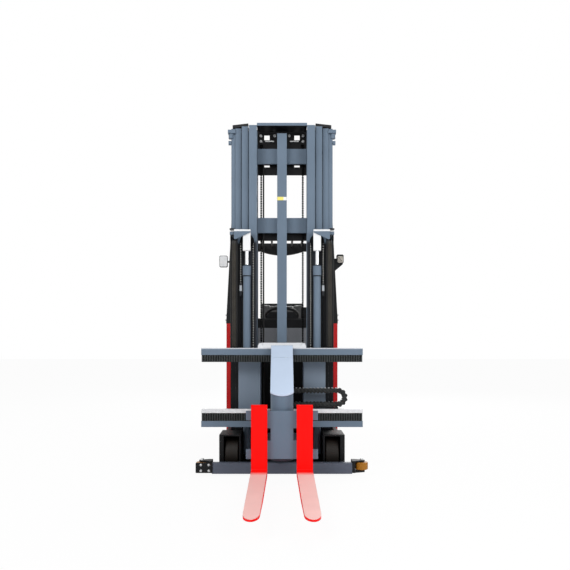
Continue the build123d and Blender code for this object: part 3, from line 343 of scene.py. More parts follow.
side_low, side_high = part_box("body_sides")
panel_edge, panel_up, panel_screw_r = 0.04, 0.03, 0.008
panel_y = np.linspace(side_low.y + panel_edge, side_high.y - panel_edge, 6)
left_spots = np.stack([side_high.x + 0 * panel_y, panel_y, side_low.z + panel_up + 0 * panel_y], -1)
hood_low, hood_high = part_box("rear_hood")
hood_screw_x, hood_screw_y, hood_screw_r = 0.43, (0.06, 0.30), 0.009
hood_spots = both_sides([(hood_screw_x, hood_low.y + y, hood_high.z) for y in hood_screw_y])
body_screws = together(set_out(round_screw(panel_screw_r), left_spots, (1, 0, 0), (0, 1, 0)),
                       set_out(round_screw(panel_screw_r), left_spots * (-1, 1, 1), (-1, 0, 0), (0, 1, 0)),
                       set_out(round_screw(hood_screw_r), hood_spots, (0, 0, 1)))
fit("body_screws", body_screws, bracket_black, "chassis")

# Step-in: a moulded rubber mat with ribs across it, glued to the cab floor, and a rubber tread strip on the
# sill of the step in the truck's left side.
rubber = cast_tread("ribbed_rubber", ink(30, 31, 32), rough=0.62, grain=520.0)
floor_wide, floor_top = 2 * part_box("cab_floor")[1].x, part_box("pedals")[0].z
mat_front, mat_back, rib_pitch = 0.455, 0.685, 0.0165
mat_margin, rib_margin = 0.03, 0.07
mat = moulded(rounded(floor_wide - mat_margin, mat_back - mat_front, 0.02),
              [(0.0, 0.0), (0.003, 0.0), (0.004, 0.001)])
rib = moulded(rounded(floor_wide - rib_margin, 0.006, 0.0028), [(0.0, 0.0), (0.002, 0.0006), (0.0028, 0.002)])
rib_spots = [(0.0, y, floor_top + 0.0035) for y in np.arange(mat_front + 0.018, mat_back - 0.01, rib_pitch)]
strip = moulded(rounded(0.26, 0.03, 0.006), [(0.0, 0.0), (0.003, 0.0), (0.004, 0.001)])
sill_spot = (side_high.x - 0.018, 0.518, 0.19)
tread = together(set_out(mat, [(0.0, (mat_front + mat_back) / 2, floor_top)], (0, 0, 1)),
                 set_out(rib, rib_spots, (0, 0, 1)), set_out(strip, [sill_spot], (0, 0, 1), (0, 1, 0)))
fit("floor_mat", tread, rubber, "chassis")

# Cab: moulded black trim clipped over the floor, dash, seat base, control arm and column, round a sheet steel
# cowl that is sprayed grey above and painted black below as painted shade.
black_trim = cast_tread("black_trim", ink(26, 27, 29), rough=0.55, grain=700.0)
coat(black_trim, "cab_floor", "battery_hood", "dashboard", "seat_base", "control_arm", "pedals",
     "steering_column", "steering_wheel")
cowl_shade_top = 0.87
# The cowl's black below the top of this span is painted shade.
coat(enamel("cowl_grey", ink(160, 162, 167), primer, rough=0.5, second=ink(13, 14, 16),
            spans=[(2, -beyond, cowl_shade_top, 0.004)]), "cab_cowl")

# Pedals: rubber pads moulded with six ribs across, pressed over the two sloping steel plates. The pads take
# the plates' own slope: so far back for so far up.
pedal_low, pedal_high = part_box("pedals")
slope_back, slope_up = 0.044, 0.12
pad_up = np.array((0.0, -slope_back, slope_up))
pad_out = np.array((0.0, slope_up, slope_back))
pad_mid = (0.0, pedal_high.y - 0.020, floor_top + 0.065)
pad_spots = np.array([(pedal_low.x + 0.035, 0.0, 0.0), (pedal_high.x - 0.04, 0.0, 0.0)]) + pad_mid
pad = moulded(rounded(0.062, 0.096, 0.008), [(-0.002, 0.0), (0.004, 0.0), (0.006, 0.0015)])
bar = moulded(rounded(0.054, 0.007, 0.003), [(0.0, 0.0), (0.002, 0.0005), (0.003, 0.0018)])
bar_reach, bar_seat = 0.036, 0.0058
lift = pad_up / np.linalg.norm(pad_up)
push = pad_out / np.linalg.norm(pad_out)
bars = np.concatenate([pad_spots + lift * s + push * bar_seat for s in np.linspace(-bar_reach, bar_reach, 6)])
pads = together(set_out(pad, pad_spots, pad_out), set_out(bar, bars, pad_out))
fit("pedal_pads", pads, rubber, "chassis")

# Steering wheel: a rim moulded over steel, with a turned spinner knob pinned to it on the driver's left for
# steering with one hand, and a domed cap that snaps over the nut in the middle.
wheel_low, wheel_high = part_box("steering_wheel")
wheel_mid = np.array((wheel_low + wheel_high) / 2)
rake = math.radians(24.0)
stem = np.array((0.0, math.sin(rake), math.cos(rake)))
spread = np.array((0.0, math.cos(rake), -math.sin(rake)))
knob_out, knob_turn, knob_up, cap_up = 0.15, 0.87, 0.012, 0.0095
knob_way = np.array((math.cos(knob_turn), 0.0, 0.0)) + math.sin(knob_turn) * spread
knob_spot = wheel_mid + knob_out * knob_way + knob_up * stem
knob = turned([(0.012, -0.004), (0.012, 0.008), (0.010, 0.012), (0.022, 0.022), (0.027, 0.034),
               (0.026, 0.046), (0.019, 0.055), (0.008, 0.058)], 24)
cap = turned([(0.033, 0.0), (0.033, 0.004), (0.029, 0.009), (0.016, 0.013), (0.004, 0.014)], 32)
grip = together(set_out(knob, [knob_spot], stem), set_out(cap, [wheel_mid + cap_up * stem], stem))
fit("spinner_knob", grip, black_trim, "chassis")


# Dash: a blank glass screen in a raised moulded frame on the pod, a red stop button screwed in on the
# driver's left and four rocker switches clipped in on the right.
def glass(name, colour, rough):
    """Smooth glass or lacquer over a plain colour, faintly smeared where fingers have been."""
    finish, tree, skin, place = blank(name)
    smear = noise(tree, place, 40.0, 3.0)
    tint = (*[min(c * 1.3 + 0.004, 1.0) for c in colour[:3]], 1.0)
    share = between(tree, smear, 0.35, 0.7, 0.0, 1.0)
    seen = mixed(tree, share, colour, tint)
    tree.links.new(seen, skin.inputs["Base Color"])
    tree.links.new(between(tree, smear, 0.35, 0.7, rough, rough + 0.12), skin.inputs["Roughness"])
    skin.inputs["Coat Weight"].default_value = 0.5
    bump = shade(tree, "Bump", {"Strength": 0.02, "Distance": 0.001, "Height": smear})
    tree.links.new(bump.outputs[0], skin.inputs["Normal"])
    return finish


dash_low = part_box("dashboard")[0]
pod_back, switch_y = dash_low.y + 0.15, dash_low.y + 0.16
screen_mid = (0.0, pod_back, 1.195)
frame_ring = moulded(rounded(0.19, 0.066, 0.01),
                     [(0.0, 0.0), (0.005, 0.0), (0.007, 0.002), (0.007, 0.006), (0.003, 0.007)])
fit("screen_frame", set_out(frame_ring, [screen_mid], (0, 1, 0), (-1, 0, 0)), black_trim,
    "chassis")
pane = moulded(rounded(0.174, 0.050, 0.005), [(0.0025, 0.0), (0.0042, 0.0), (0.0046, 0.0006)])
fit("screen_glass", set_out(pane, [screen_mid], (0, 1, 0), (-1, 0, 0)),
    glass("screen_dark", ink(18, 22, 28), rough=0.08), "chassis")
button = turned([(0.009, 0.0), (0.009, 0.010), (0.018, 0.012), (0.019, 0.018), (0.015, 0.024),
                 (0.006, 0.026)], 24)
button_spot = (0.3, switch_y, 1.1565)
fit("stop_button", set_out(button, [button_spot], (0, 0.12, 1)),
    glass("button_red", ink(190, 16, 14), rough=0.25), "chassis")
rocker = moulded(rounded(0.022, 0.034, 0.003), [(0.0, 0.0), (0.004, 0.0), (0.006, 0.0015)])
rocker_x, rocker_z = (0.20, 0.235, 0.27, 0.305), 1.1595
rocker_spots = [(-x, switch_y, rocker_z) for x in rocker_x]
fit("rocker_switches", set_out(rocker, rocker_spots, (0, 0.127, 1)), rubber, "chassis")

# Control arm: a rest for the forearm behind the two levers, foam in a smooth rubber skin on a plate that is
# screwed down from inside the arm.
arm_low, arm_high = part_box("control_arm")
rest_spot = ((arm_low.x + arm_high.x) / 2, 1.045, 1.2)
rest = moulded(rounded(0.064, 0.2, 0.018, 6),
               [(0.0, 0.002), (0.006, -0.002), (0.016, -0.001), (0.022, 0.004), (0.025, 0.012)])
fit("arm_rest", set_out(rest, [rest_spot], (0, 0.05, 1)), rubber, "chassis")


# Seat: foam cushions in black vinyl, stuffed into sewn covers: the cover swells and its seams pull in. Three
# sewn channels run along the pad and two up the back.
def stuffed(name, node, part, inset, swell, channels):
    """One cushion of a CAD node as foam in a cover: the solid drawn in by inset, remeshed and blown up by a
    cloth under pressure, moved at most swell, then pressed in along lines of constant x by a bell curve."""
    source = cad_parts[node].data
    points = np.array([v.co for v in source.vertices])
    faces = np.array([p.vertices[:] for p in source.polygons])
    upper = points[faces].mean(1)[:, 2] > part
    pick = faces[upper] if name.endswith("back") else faces[~upper]
    used, again = np.unique(np.round(points[pick.ravel()], 6), axis=0, return_inverse=True)
    middle = (used.min(0) + used.max(0)) / 2
    used = middle + (used - middle) * (1.0 - 2 * inset / (used.max(0) - used.min(0)))
    mesh = bpy.data.meshes.new(name)
    mesh.from_pydata(used.tolist(), [], again.reshape(-1, 3).tolist())
    cover = bpy.data.objects.new(name, mesh)
    bpy.context.scene.collection.objects.link(cover)
    fill = cover.modifiers.new("fill", "REMESH")
    fill.mode = "VOXEL"
    coarse, fine, settle = 0.008, 0.006, 20
    fill.voxel_size = fine
    graph = bpy.context.evaluated_depsgraph_get()
    cover.data = bpy.data.meshes.new_from_object(cover.evaluated_get(graph))
    cover.modifiers.clear()
    start = np.empty(len(cover.data.vertices) * 3)
    cover.data.vertices.foreach_get("co", start)
    start = start.reshape(-1, 3)
    blown = start
    cloth = cover.modifiers.new("blow", "CLOTH")
    cloth.settings.use_pressure = True
    cloth.settings.uniform_pressure_force = 4.0
    cloth.settings.tension_stiffness = 12.0
    cloth.settings.compression_stiffness = 12.0
    cloth.settings.bending_stiffness = 0.4
    cloth.settings.effector_weights.gravity = 0.0
    for step in range(1, settle + 1):
        bpy.context.scene.frame_set(step)
    graph = bpy.context.evaluated_depsgraph_get()
    done = cover.evaluated_get(graph).to_mesh()
    blown = np.empty(len(done.vertices) * 3)
    done.vertices.foreach_get("co", blown)
    blown = blown.reshape(-1, 3)
    cover.evaluated_get(graph).to_mesh_clear()
    cover.modifiers.clear()
    bpy.context.scene.frame_set(1)
    move = blown - start
    moved = np.linalg.norm(move, axis=1, keepdims=True)
    shape = start + move * np.minimum(1.0, swell / np.maximum(moved, 1e-9))
    cover.data.vertices.foreach_set("co", shape.ravel())
    cover.data.update()
    normal = np.empty(len(shape) * 3)
    cover.data.vertices.foreach_get("normal", normal)
    normal = normal.reshape(-1, 3)
    sat_on, leant_on = np.array((0.0, -0.5, 0.87)), np.array((0.0, -1.0, 0.0))
    facing = np.maximum(normal @ sat_on, normal @ leant_on).clip(0, 1)
    half_wide, deep = 0.007, 0.009
    press = sum(np.exp(-((shape[:, 0] - x) / half_wide) ** 2) for x in channels) * facing
    shape = shape - normal * (deep * press)[:, None]
    cover.data.vertices.foreach_set("co", shape.ravel())
    cover.data.shade_smooth()
    finer = cover.modifiers.new("smooth", "SUBSURF")
    finer.levels = 1
    finer.render_levels = 1
    return cover


def vinyl(name, colour):
    """Embossed seat vinyl: a leather grain of small cells, duller where it has worn, with a soft sheen."""
    finish, tree, skin, place = blank(name)
    grain = shade(tree, "TexVoronoi", {"Vector": place, "Scale": 520.0}, feature="SMOOTH_F1").outputs[0]
    wear = noise(tree, place, 9.0, 5.0)
    faded = (*[min(c * 1.7 + 0.004, 1.0) for c in colour[:3]], 1.0)
    share = between(tree, wear, 0.45, 0.7, 0.0, 0.8)
    seen = mixed(tree, share, colour, faded)
    tree.links.new(seen, skin.inputs["Base Color"])
    tree.links.new(between(tree, wear, 0.3, 0.7, 0.42, 0.6), skin.inputs["Roughness"])
    skin.inputs["Sheen Weight"].default_value = 0.05
    bump = shade(tree, "Bump", {"Strength": 0.25, "Distance": 0.0008, "Height": grain})
    tree.links.new(bump.outputs[0], skin.inputs["Normal"])
    return finish


seat_vinyl = vinyl("seat_vinyl", ink(24, 25, 27))
seat_split = 1.0
coat(seat_vinyl, "seat_cushions")
for cushion, lines in (("seat_pad", (-0.13, 0.0, 0.13)), ("seat_back", (-0.12, 0.12))):
    made = stuffed(cushion, "seat_cushions", seat_split, inset=0.014, swell=0.022, channels=lines)
    made.data.materials.append(seat_vinyl)
    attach(made, "chassis")
    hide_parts("seat_cushions")

# Overhead guard: black box section welded into a frame with bars along the roof and a bowed rib under its
# rear bar, held to the body by hexagon screws at its feet. A mirror and a lamp are clamped to its posts.
coat(bracket_black, "overhead_guard", "mirrors", "work_lamp")
guard_low, guard_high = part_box("overhead_guard")
foot_screw_r, foot_screws = 0.009, ((0.035, 0.03), (0.055, 0.075))
foot_spots = np.array([(guard_high.x, guard_low.y + y, side_high.z + z) for y, z in foot_screws])
foot_bolts = together(set_out(hex_head(foot_screw_r), foot_spots, (1, 0, 0), (0, 1, 0)),
                      set_out(hex_head(foot_screw_r), foot_spots * (-1, 1, 1), (-1, 0, 0), (0, 1, 0)))
fit("guard_bolts", foot_bolts, zinc, "chassis")
rib_half, rib_deep, rib_bow, rib_wide = 0.245, 0.058, 0.75, 0.034
rib_y, rib_top = guard_high.y - 0.025, guard_high.z - 0.079
rib_x = np.linspace(-rib_half, rib_half, 25)
rib_depth = rib_deep - rib_bow * rib_x ** 2
rib_ring = rounded(rib_wide, 1.0, 0.006, 3)
rib_grid = np.stack([rib_x[:, None] + 0 * rib_ring[None, :, 0],
                     rib_y + 0 * rib_x[:, None] + rib_ring[None, :, 0],
                     rib_top + rib_depth[:, None] * (rib_ring[None, :, 1] - 0.5)], -1)
fit("guard_rib", skinned(rib_grid), bracket_black, "chassis")
mirror_low, mirror_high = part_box("mirrors")
mirror_half = 0.0375
mirror_x, mirror_z = mirror_low.x + mirror_half, (mirror_low.z + mirror_high.z) / 2
silver = moulded(rounded(0.067, 0.097, 0.01), [(0.0, 0.0), (0.0015, 0.0), (0.002, 0.0006)])
mirror_faces = together(set_out(silver, [(mirror_x, mirror_low.y, mirror_z)], (0, -1, 0)),
                        set_out(silver, [(mirror_x, mirror_high.y, mirror_z)], (0, 1, 0)))
# The mirror's faces are plain near-white glass: a painted reflection of the white surround.
fit("mirror_glass", mirror_faces, glass("mirror_white_reflection", ink(240, 242, 244), rough=0.06),
    "chassis")
lamp_low, lamp_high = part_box("work_lamp")
lens_out, lens_drop = 0.01, 0.045
lens_mid = ((lamp_low.x + lamp_high.x) / 2 + lens_out, lamp_low.y, lamp_high.z - lens_drop)
lens = moulded(rounded(0.05, 0.06, 0.008), [(0.0, 0.0), (0.004, 0.0), (0.008, 0.004), (0.010, 0.012)])
fit("lamp_lens", set_out(lens, [lens_mid], (0, -1, 0)), glass("lens_grey", ink(176, 170, 160), rough=0.15),
    "chassis")

# Mast: three stages of rolled section in slate enamel, one inside the next, with the crossmembers behind
# black as painted shade and slate ones in front, and a flat duct up the middle with a blank plate riveted on
# it. The rails' fronts are darkened as painted shade as high as the chains and hoses run, and so is the top
# tie below its lip.
slate, bare_edge = ink(106, 122, 139), ink(150, 152, 154)
mast_slate = enamel("mast_slate", slate, bare_edge, rub=0.45)
mast_black = enamel("mast_black", ink(17, 18, 21), ink(90, 90, 92), rough=0.5, rub=0.4)
# The rails' fronts are dark up to this height and behind these front planes: painted shade.
chain_shade_zone = (2, -1.0, 1.758, 0.012)
inner_front, outer_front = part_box("inner_rails")[0].y + 0.02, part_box("outer_rails")[0].y + 0.035
coat(enamel("inner_slate", slate, bare_edge, rub=0.45, second=ink(44, 48, 55),
            spans=[chain_shade_zone, (1, -beyond, inner_front)]), "inner_rails")
coat(enamel("outer_slate", slate, bare_edge, rub=0.45, second=ink(21, 23, 27),
            spans=[chain_shade_zone, (1, -beyond, outer_front)]), "outer_rails", "middle_rails")
top_tie, tie_lip = 2.6, 0.0215
# The top tie is black below its lip: painted shade.
shade_under_lip = (2, top_tie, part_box("inner_crossmembers")[1].z - tie_lip, 0.0008)
coat(enamel("tie_slate", slate, bare_edge, rub=0.45, second=ink(15, 16, 19), spans=[shade_under_lip]),
     "inner_crossmembers")
coat(mast_slate, "hose_duct")
# Black on the crossmembers behind is painted shade. The other parts in this black are black enamel.
coat(mast_black, "outer_crossmembers", "middle_crossmembers")
blank_plate = moulded(rounded(0.074, 0.028, 0.003), [(0.0, 0.0), (0.001, 0.0), (0.0014, 0.0004)])
blank_spot, white_from, white_to = (0.0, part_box("hose_duct")[0].y, 2.11), 0.012, 0.1
plate_straw = enamel("plate_straw", ink(244, 232, 128), primer, rub=0.2, second=ink(244, 245, 246),
                     spans=[(0, white_from, white_to)])
fit("duct_plate", set_out(blank_plate, [blank_spot], (0, -1, 0)), plate_straw, "inner_mast")

# Head plate of the middle stage: a black steel plate behind the top tie, with zinc-plated nuts on the chain
# anchors' studs and two bars that clamp the hoses to it.
plate_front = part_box("mast_sheaves")[0].y + 0.01
stud_nut_r, stud_places, bar_place = 0.009, ((0.172, 2.645), (0.172, 2.60), (0.06, 2.645)), (0.1, 2.598)
stud_spots = both_sides([(x, plate_front, z) for x, z in stud_places])
bar_spots = both_sides([(bar_place[0], plate_front, bar_place[1])])
clamp_bar = moulded(rounded(0.075, 0.011, 0.004), [(0.0, 0.0), (0.008, 0.0), (0.010, 0.002)])
studs = together(set_out(hex_head(stud_nut_r), stud_spots, (0, -1, 0)),
                 set_out(clamp_bar, bar_spots, (0, -1, 0)))
fit("head_studs", studs, zinc, "middle_mast")

# Lift rams: honed barrels in the mast's slate, chromed rods, and pale cast yokes with brackets on top, whose
# top plates are white as a painted highlight. A screwed gland with a wiper ring closes each barrel.
coat(mast_slate, "ram_barrels", "main_barrels")
bracket_highlight_from = 1.824
# White above this height on the brackets is a painted highlight.
coat(enamel("bracket_parted", slate, bare_edge, second=ink(236, 238, 240),
            spans=[(2, bracket_highlight_from, beyond)]), "yoke_brackets")


def chromed(name, colour, rough):
    """Hard chrome: mirror-bright, dulled in soft lengthwise streaks by the oil film that the seals leave."""
    finish, tree, skin, place = blank(name)
    drawn_out = shade(tree, "Mapping", {"Vector": place, "Scale": (60.0, 60.0, 1.5)}).outputs[0]
    film = noise(tree, drawn_out, 3.0, 4.0)
    dulled = (*[c * 0.86 for c in colour[:3]], 1.0)
    share = between(tree, film, 0.35, 0.7, 0.0, 1.0)
    seen = mixed(tree, share, colour, dulled)
    tree.links.new(seen, skin.inputs["Base Color"])
    skin.inputs["Metallic"].default_value = 1.0
    tree.links.new(between(tree, film, 0.35, 0.7, rough, rough + 0.16), skin.inputs["Roughness"])
    bump = shade(tree, "Bump", {"Strength": 0.03, "Distance": 0.001, "Height": film})
    tree.links.new(bump.outputs[0], skin.inputs["Normal"])
    return finish


coat(chromed("rod_chrome", ink(238, 240, 242), rough=0.08), "ram_rods", "main_rods")
coat(enamel("yoke_white", ink(242, 243, 244), ink(150, 150, 150)), "ram_yokes")
rod_low, rod_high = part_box("ram_rods")
rod_r = (rod_high.y - rod_low.y) / 2
ram_spots = both_sides([(rod_high.x - rod_r, (rod_low.y + rod_high.y) / 2, 0.0)])
barrel_r, barrel_top, seam_drop = 0.028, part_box("ram_barrels")[1].z, 0.082
wiper = turned([(barrel_r * 0.9, 0.0), (barrel_r * 0.88, 0.006), (rod_r + 0.002, 0.009),
                (rod_r + 0.0004, 0.010), (rod_r + 0.0004, 0.001)], 32)
seam = turned([(barrel_r + 0.0006, 0.0), (barrel_r + 0.0042, 0.001), (barrel_r + 0.0042, 0.008),
               (barrel_r + 0.0006, 0.009)], 40)
seals = together(set_out(wiper, ram_spots + (0, 0, barrel_top), (0, 0, 1)),
                 set_out(seam, ram_spots + (0, 0, barrel_top - seam_drop), (0, 0, 1)))
fit("ram_seals", seals, mast_black, "inner_mast")

# Sheaves, racks and pinions: turned and cut from bar, bare steel under oil that is dark where it gathers and
# wiped off the racks' tooth tips. The strip along the lower rack is near-white steel, and the blocks that the
# chains are pinned to are painted, with a pale band.
tooth_tips = (1, -0.64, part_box("traverse_racks")[0].y + 0.0022, 0.0008)
rack_steel = oiled_steel("rack_steel", ink(96, 100, 100), ink(11, 12, 12), rough=0.45, film=0.97, thin=0.96,
                         wiped=tooth_tips)
chain_steel = oiled_steel("chain_steel", ink(32, 33, 34), ink(6, 6, 7), rough=0.6, film=0.95, thin=0.8)
coat(rack_steel, "traverse_racks", "traverse_pinions")
coat(oiled_steel("track_bright", ink(240, 241, 243), ink(196, 198, 202), rough=0.3, film=0.5, thin=0.5),
     "guide_track")
coat(chain_steel, "chain_sheaves", "mast_sheaves", "anchor_chains", "carriage_chains", "mast_chains")
anchor_band = (2, 1.368, 1.412)
coat(enamel("anchor_parted", ink(30, 33, 38), primer, second=ink(178, 184, 190), spans=[anchor_band]),
     "chain_anchors")


# Leaf chains: punched steel link plates laced on riveted pins. The free lift strands run from anchors on the
# inner stage up over the yokes' sheaves and down to the carriage, and the main strands hang from the middle
# stage.
leaf, link_r = 0.0026, 0.0074


def stadium(length, r, steps=6):
    """Outline of a bar with round ends: a half circle about each end of its centre line."""
    a = np.linspace(-np.pi / 2, np.pi / 2, steps)
    end = np.stack([length / 2 + r * np.cos(a), r * np.sin(a)], -1)
    return np.concatenate([end, -end])


def link_plates(pins, across):
    """Plates between neighbouring pins, square to the pins' axis: three to one link and two to the next."""
    step = np.diff(pins, axis=0)
    middle = pins[:-1] + step / 2
    plate = moulded(stadium(np.linalg.norm(step[0]), link_r), [(-leaf / 2, 0.0), (leaf / 2, 0.0)])
    shapes = []
    for first, layers in ((0, (-2, 0, 2)), (1, (-1, 1))):
        spots = [middle[first::2] + np.multiply(across, leaf * layer) for layer in layers]
        along = np.concatenate([step[first::2]] * len(layers))
        shapes.append(set_out(plate, np.concatenate(spots), across, along))
    return together(*shapes)


def rivet_pins(pins, across):
    """Pins with domed heads standing out of both faces of the chain."""
    pin = turned([(0.0018, -0.0082), (0.0035, -0.0072), (0.0035, 0.0072), (0.0018, 0.0082)], 8)
    return set_out(pin, pins, across, (0.0, 0.0, 1.0))


def straight(x, y, top, bottom, pitch=0.01905):
    """Pins evenly down an upright run, as near to the pitch as the run's length allows."""
    count = max(2, int(round((top - bottom) / pitch)) + 1)
    z = np.linspace(top, bottom, count)
    return np.stack([x + 0 * z, y + 0 * z, z], -1)


pin_steel = oiled_steel("pin_steel", ink(226, 226, 224), ink(170, 170, 168), rough=0.35, film=0.4)


def hang(name, runs, across, node, holds, pins=pin_steel):
    """Plates and pins of like chain runs, baked into the truck's frame where two bodies hold them, or riding
    on one.
    """
    for kind, maker, finish in (("plates", link_plates, chain_steel), ("pins", rivet_pins, pins)):
        made = fit(f"{name}_{kind}", together(*[maker(run, across) for run in runs]), finish)
        if len(holds) == 2:
            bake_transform(made)
        else:
            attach(made, holds[0])
        if node and kind == "plates":
            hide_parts(node)


sheave_low, sheave_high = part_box("chain_sheaves")
sheave_z = (sheave_low.z + sheave_high.z) / 2
carry_low, carry_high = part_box("carriage_chains")
tie_low, tie_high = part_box("anchor_chains")
chain_y = (carry_low.y + carry_high.y) / 2
half_link, half_main = 0.0054, 0.007
inner_x, outer_x = carry_high.x - half_link, tie_high.x - half_link
left_right = (1.0, -1.0)
hang("carry", [straight(s * inner_x, chain_y, sheave_z, carry_low.z) for s in left_right], (0, 1, 0),
     "carriage_chains", ("inner_mast", "carriage"))
hang("tie", [straight(s * outer_x, chain_y, sheave_z, tie_low.z) for s in left_right], (0, 1, 0),
     "anchor_chains", ("inner_mast", "carriage"))
bend = np.linspace(0.0, np.pi, 9)
wrap_r = (outer_x - inner_x) / 2
wraps = [np.stack([s * (inner_x + outer_x) / 2 + wrap_r * np.cos(bend), chain_y + 0 * bend,
                   sheave_z + wrap_r * np.sin(bend)], -1) for s in left_right]
hang("yoke", wraps, (0, 1, 0), None, ("crosshead",))
main_low, main_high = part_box("mast_chains")
main_x, main_y = main_high.x - half_main, (main_low.y + main_high.y) / 2
hang("main", [straight(s * main_x, main_y, main_high.z, main_low.z) for s in left_right], (1, 0, 0),
     "mast_chains", ("middle_mast", "inner_mast"),
     chain_steel)


# Hoses: four a side, hung from clamps on the yokes' brackets: the outer two of each row in plain rubber and
# the two between in woven sleeves, whose paler colour is also painted light between the dark hoses. Each
# has a crimped steel ferrule and a hexagon swivel at each end.
def drawn(path, outline, side):
    """A flat outline carried along a path: each ring stands square to the path, its X nearest to the side."""
    path = np.asarray(path, float)
    way = np.gradient(path, axis=0)
    way = way / np.linalg.norm(way, axis=1, keepdims=True)
    x = side - (way @ np.asarray(side, float))[:, None] * way
    x = x / np.linalg.norm(x, axis=1, keepdims=True)
    y = np.cross(way, x)
    return skinned(path[:, None] + outline[None, :, :1] * x[:, None] + outline[None, :, 1:] * y[:, None])


hose_rubber = cast_tread("hose_rubber", ink(30, 30, 30), rough=0.6, grain=500.0)
# The sleeves' paler colour is partly the sleeves' own and partly painted light across the bundle.
hose_braid_and_light = cast_tread("hose_braid_and_light", ink(64, 61, 55), rough=0.65, grain=500.0)
coat(hose_rubber, "lift_hoses")
hose_low, hose_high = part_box("lift_hoses")
hose_r = (hose_high.y - hose_low.y) / 2
hose_y = (hose_low.y + hose_high.y) / 2
in_row, hose_pitch = 4, 0.015
hose_x = hose_high.x - hose_r - hose_pitch * np.arange(in_row)
turn = np.arange(12) * np.pi / 6
hose_ring = hose_r * np.stack([np.cos(turn), np.sin(turn)], -1)
hose_z = np.linspace(hose_low.z, hose_high.z, 40)
tubes = [drawn(np.stack([s * x + 0 * hose_z, hose_y + 0 * hose_z, hose_z], -1), hose_ring, (1.0, 0.0, 0.0))
         for s in left_right for x in hose_x]
plain = np.isin(np.arange(len(tubes)) % in_row, (0, in_row - 1))
for name, finish, wanted in (("hoses", hose_rubber, plain), ("braided_hoses", hose_braid_and_light, ~plain)):
    made = fit(name, together(*[tubes[k] for k in np.flatnonzero(wanted)]), finish)
    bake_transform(made)
    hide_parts("lift_hoses")
ferrule = together(turned([(hose_r + 0.0006, 0.0), (hose_r + 0.0009, 0.026), (hose_r - 0.001, 0.028)], 12),
                   turned([(hose_r + 0.0006, 0.027), (hose_r + 0.0006, 0.036), (hose_r - 0.002, 0.038)], 6))
foot_up, head_down = 0.04, 0.044
feet = both_sides([(x, hose_y, hose_low.z + foot_up) for x in hose_x])
heads = both_sides([(x, hose_y, hose_high.z - head_down) for x in hose_x])
fit("hose_ends_low", set_out(ferrule, feet, (0, 0, -1)), chain_steel, "carriage")
fit("hose_ends_high", set_out(ferrule, heads, (0, 0, 1)), chain_steel, "crosshead")
top_low, top_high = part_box("yoke_brackets")
clamp_wide = 0.04
clamp = moulded(rounded(clamp_wide, top_high.y - top_low.y, 0.004),
                [(0.0, 0.0), (0.007, 0.0), (0.009, 0.002)])
clamp_spots = both_sides([(top_high.x - clamp_wide / 2, (top_low.y + top_high.y) / 2, top_high.z)])
fit("hose_clamps", set_out(clamp, clamp_spots, (0, 0, 1)), mast_black, "crosshead")

# Supply lines of the inner stage: a rubber hose and a thinner one up the back of its ties, each held by
# moulded saddles that are screwed to the ties.
tie_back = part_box("inner_rails")[1].y - 0.0115
supply_low, supply_top, off_tie = 0.15, 2.49, 0.002
supply_x, thin_x, thin_share = -0.149, -0.1965, 0.65
supply_z = np.linspace(supply_low, supply_top, 30)
supply_lines = []
for x, share in ((supply_x, 1.0), (thin_x, thin_share)):
    path = np.stack([x + 0 * supply_z, tie_back + off_tie + share * hose_r + 0 * supply_z, supply_z], -1)
    supply_lines.append(drawn(path, share * hose_ring, (1.0, 0.0, 0.0)))
fit("supply_hose", together(*supply_lines), hose_rubber, "inner_mast")
saddle = moulded(rounded(0.026, 0.02, 0.006), [(0.0, 0.0), (0.006, 0.0), (0.0155, 0.005), (0.0165, 0.007)])
thin_saddle = moulded(rounded(0.014, 0.02, 0.004),
                      [(0.0, 0.0), (0.004, 0.0), (0.0105, 0.003), (0.0115, 0.005)])
saddle_z = (0.175, 1.91, 2.46)
saddles = together(set_out(saddle, [(supply_x, tie_back, z) for z in saddle_z], (0, 1, 0)),
                   set_out(thin_saddle, [(thin_x, tie_back, z) for z in saddle_z], (0, 1, 0)))
fit("hose_saddles", saddles, mast_black, "inner_mast")

# Traverse carriage: welded plates and rolled beams in slate, with a pale painted highlight along the beams'
# top edge, and a pale pressed cover across the middle with folded lips at its ends. The racks are let into
# the beams and held by hexagon screws from behind.
coat(enamel("plate_slate", ink(130, 144, 160), bare_edge, rub=0.45), "carriage_plates")
beam_low, beam_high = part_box("traverse_beams")
beam_highlight_band = 0.006
# The pale band along the beams' top edge is a painted highlight.
coat(enamel("beam_slate", slate, bare_edge, rub=0.45, second=ink(214, 219, 225),
            spans=[(2, beam_high.z - beam_highlight_band, beyond, 0.003)]), "traverse_beams")
cover_white = enamel("cover_white", ink(236, 238, 242), ink(120, 126, 134), rub=0.3)
coat(cover_white, "carriage_cover")
cover_low, cover_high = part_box("carriage_cover")
lip_out, lip_rise = 0.022, cover_high.z - cover_low.z
lip = moulded(rounded(2 * lip_out, cover_high.y - cover_low.y, 0.008),
              [(0.0005, 0.0), (0.6 * lip_rise, 0.002), (0.92 * lip_rise, 0.010), (0.95 * lip_rise, 0.014)])
lip_spots = both_sides([(cover_high.x, (cover_low.y + cover_high.y) / 2, cover_low.z)])
fit("cover_lips", set_out(lip, lip_spots, (0, 0, 1)), cover_white, "carriage")
coat(mast_black, "carriage_brackets", "energy_chain")
beam_bolt_r, beam_end, beam_edge, plates_half = 0.009, 0.06, 0.025, 0.345
beam_spots = [(x, beam_high.y, z) for z in (beam_low.z + beam_edge, beam_high.z - beam_edge)
              for x in np.linspace(beam_low.x + beam_end, beam_high.x - beam_end, 9) if abs(x) > plates_half]
fit("beam_bolts", set_out(hex_head(beam_bolt_r), beam_spots, (0, 1, 0)), zinc, "carriage")


# Energy chain: moulded side plates hinged on round bosses, with bars across, which carries the head's hoses.
# The lower run lies in a tray on the lower beam and the upper run is pulled along by the head.
link_pitch, bend_r, bend_x = 0.0272, 0.052, 0.42
side_out, side_in, boss_out, bar_up = 0.0235, 0.0215, 0.0225, 0.0178


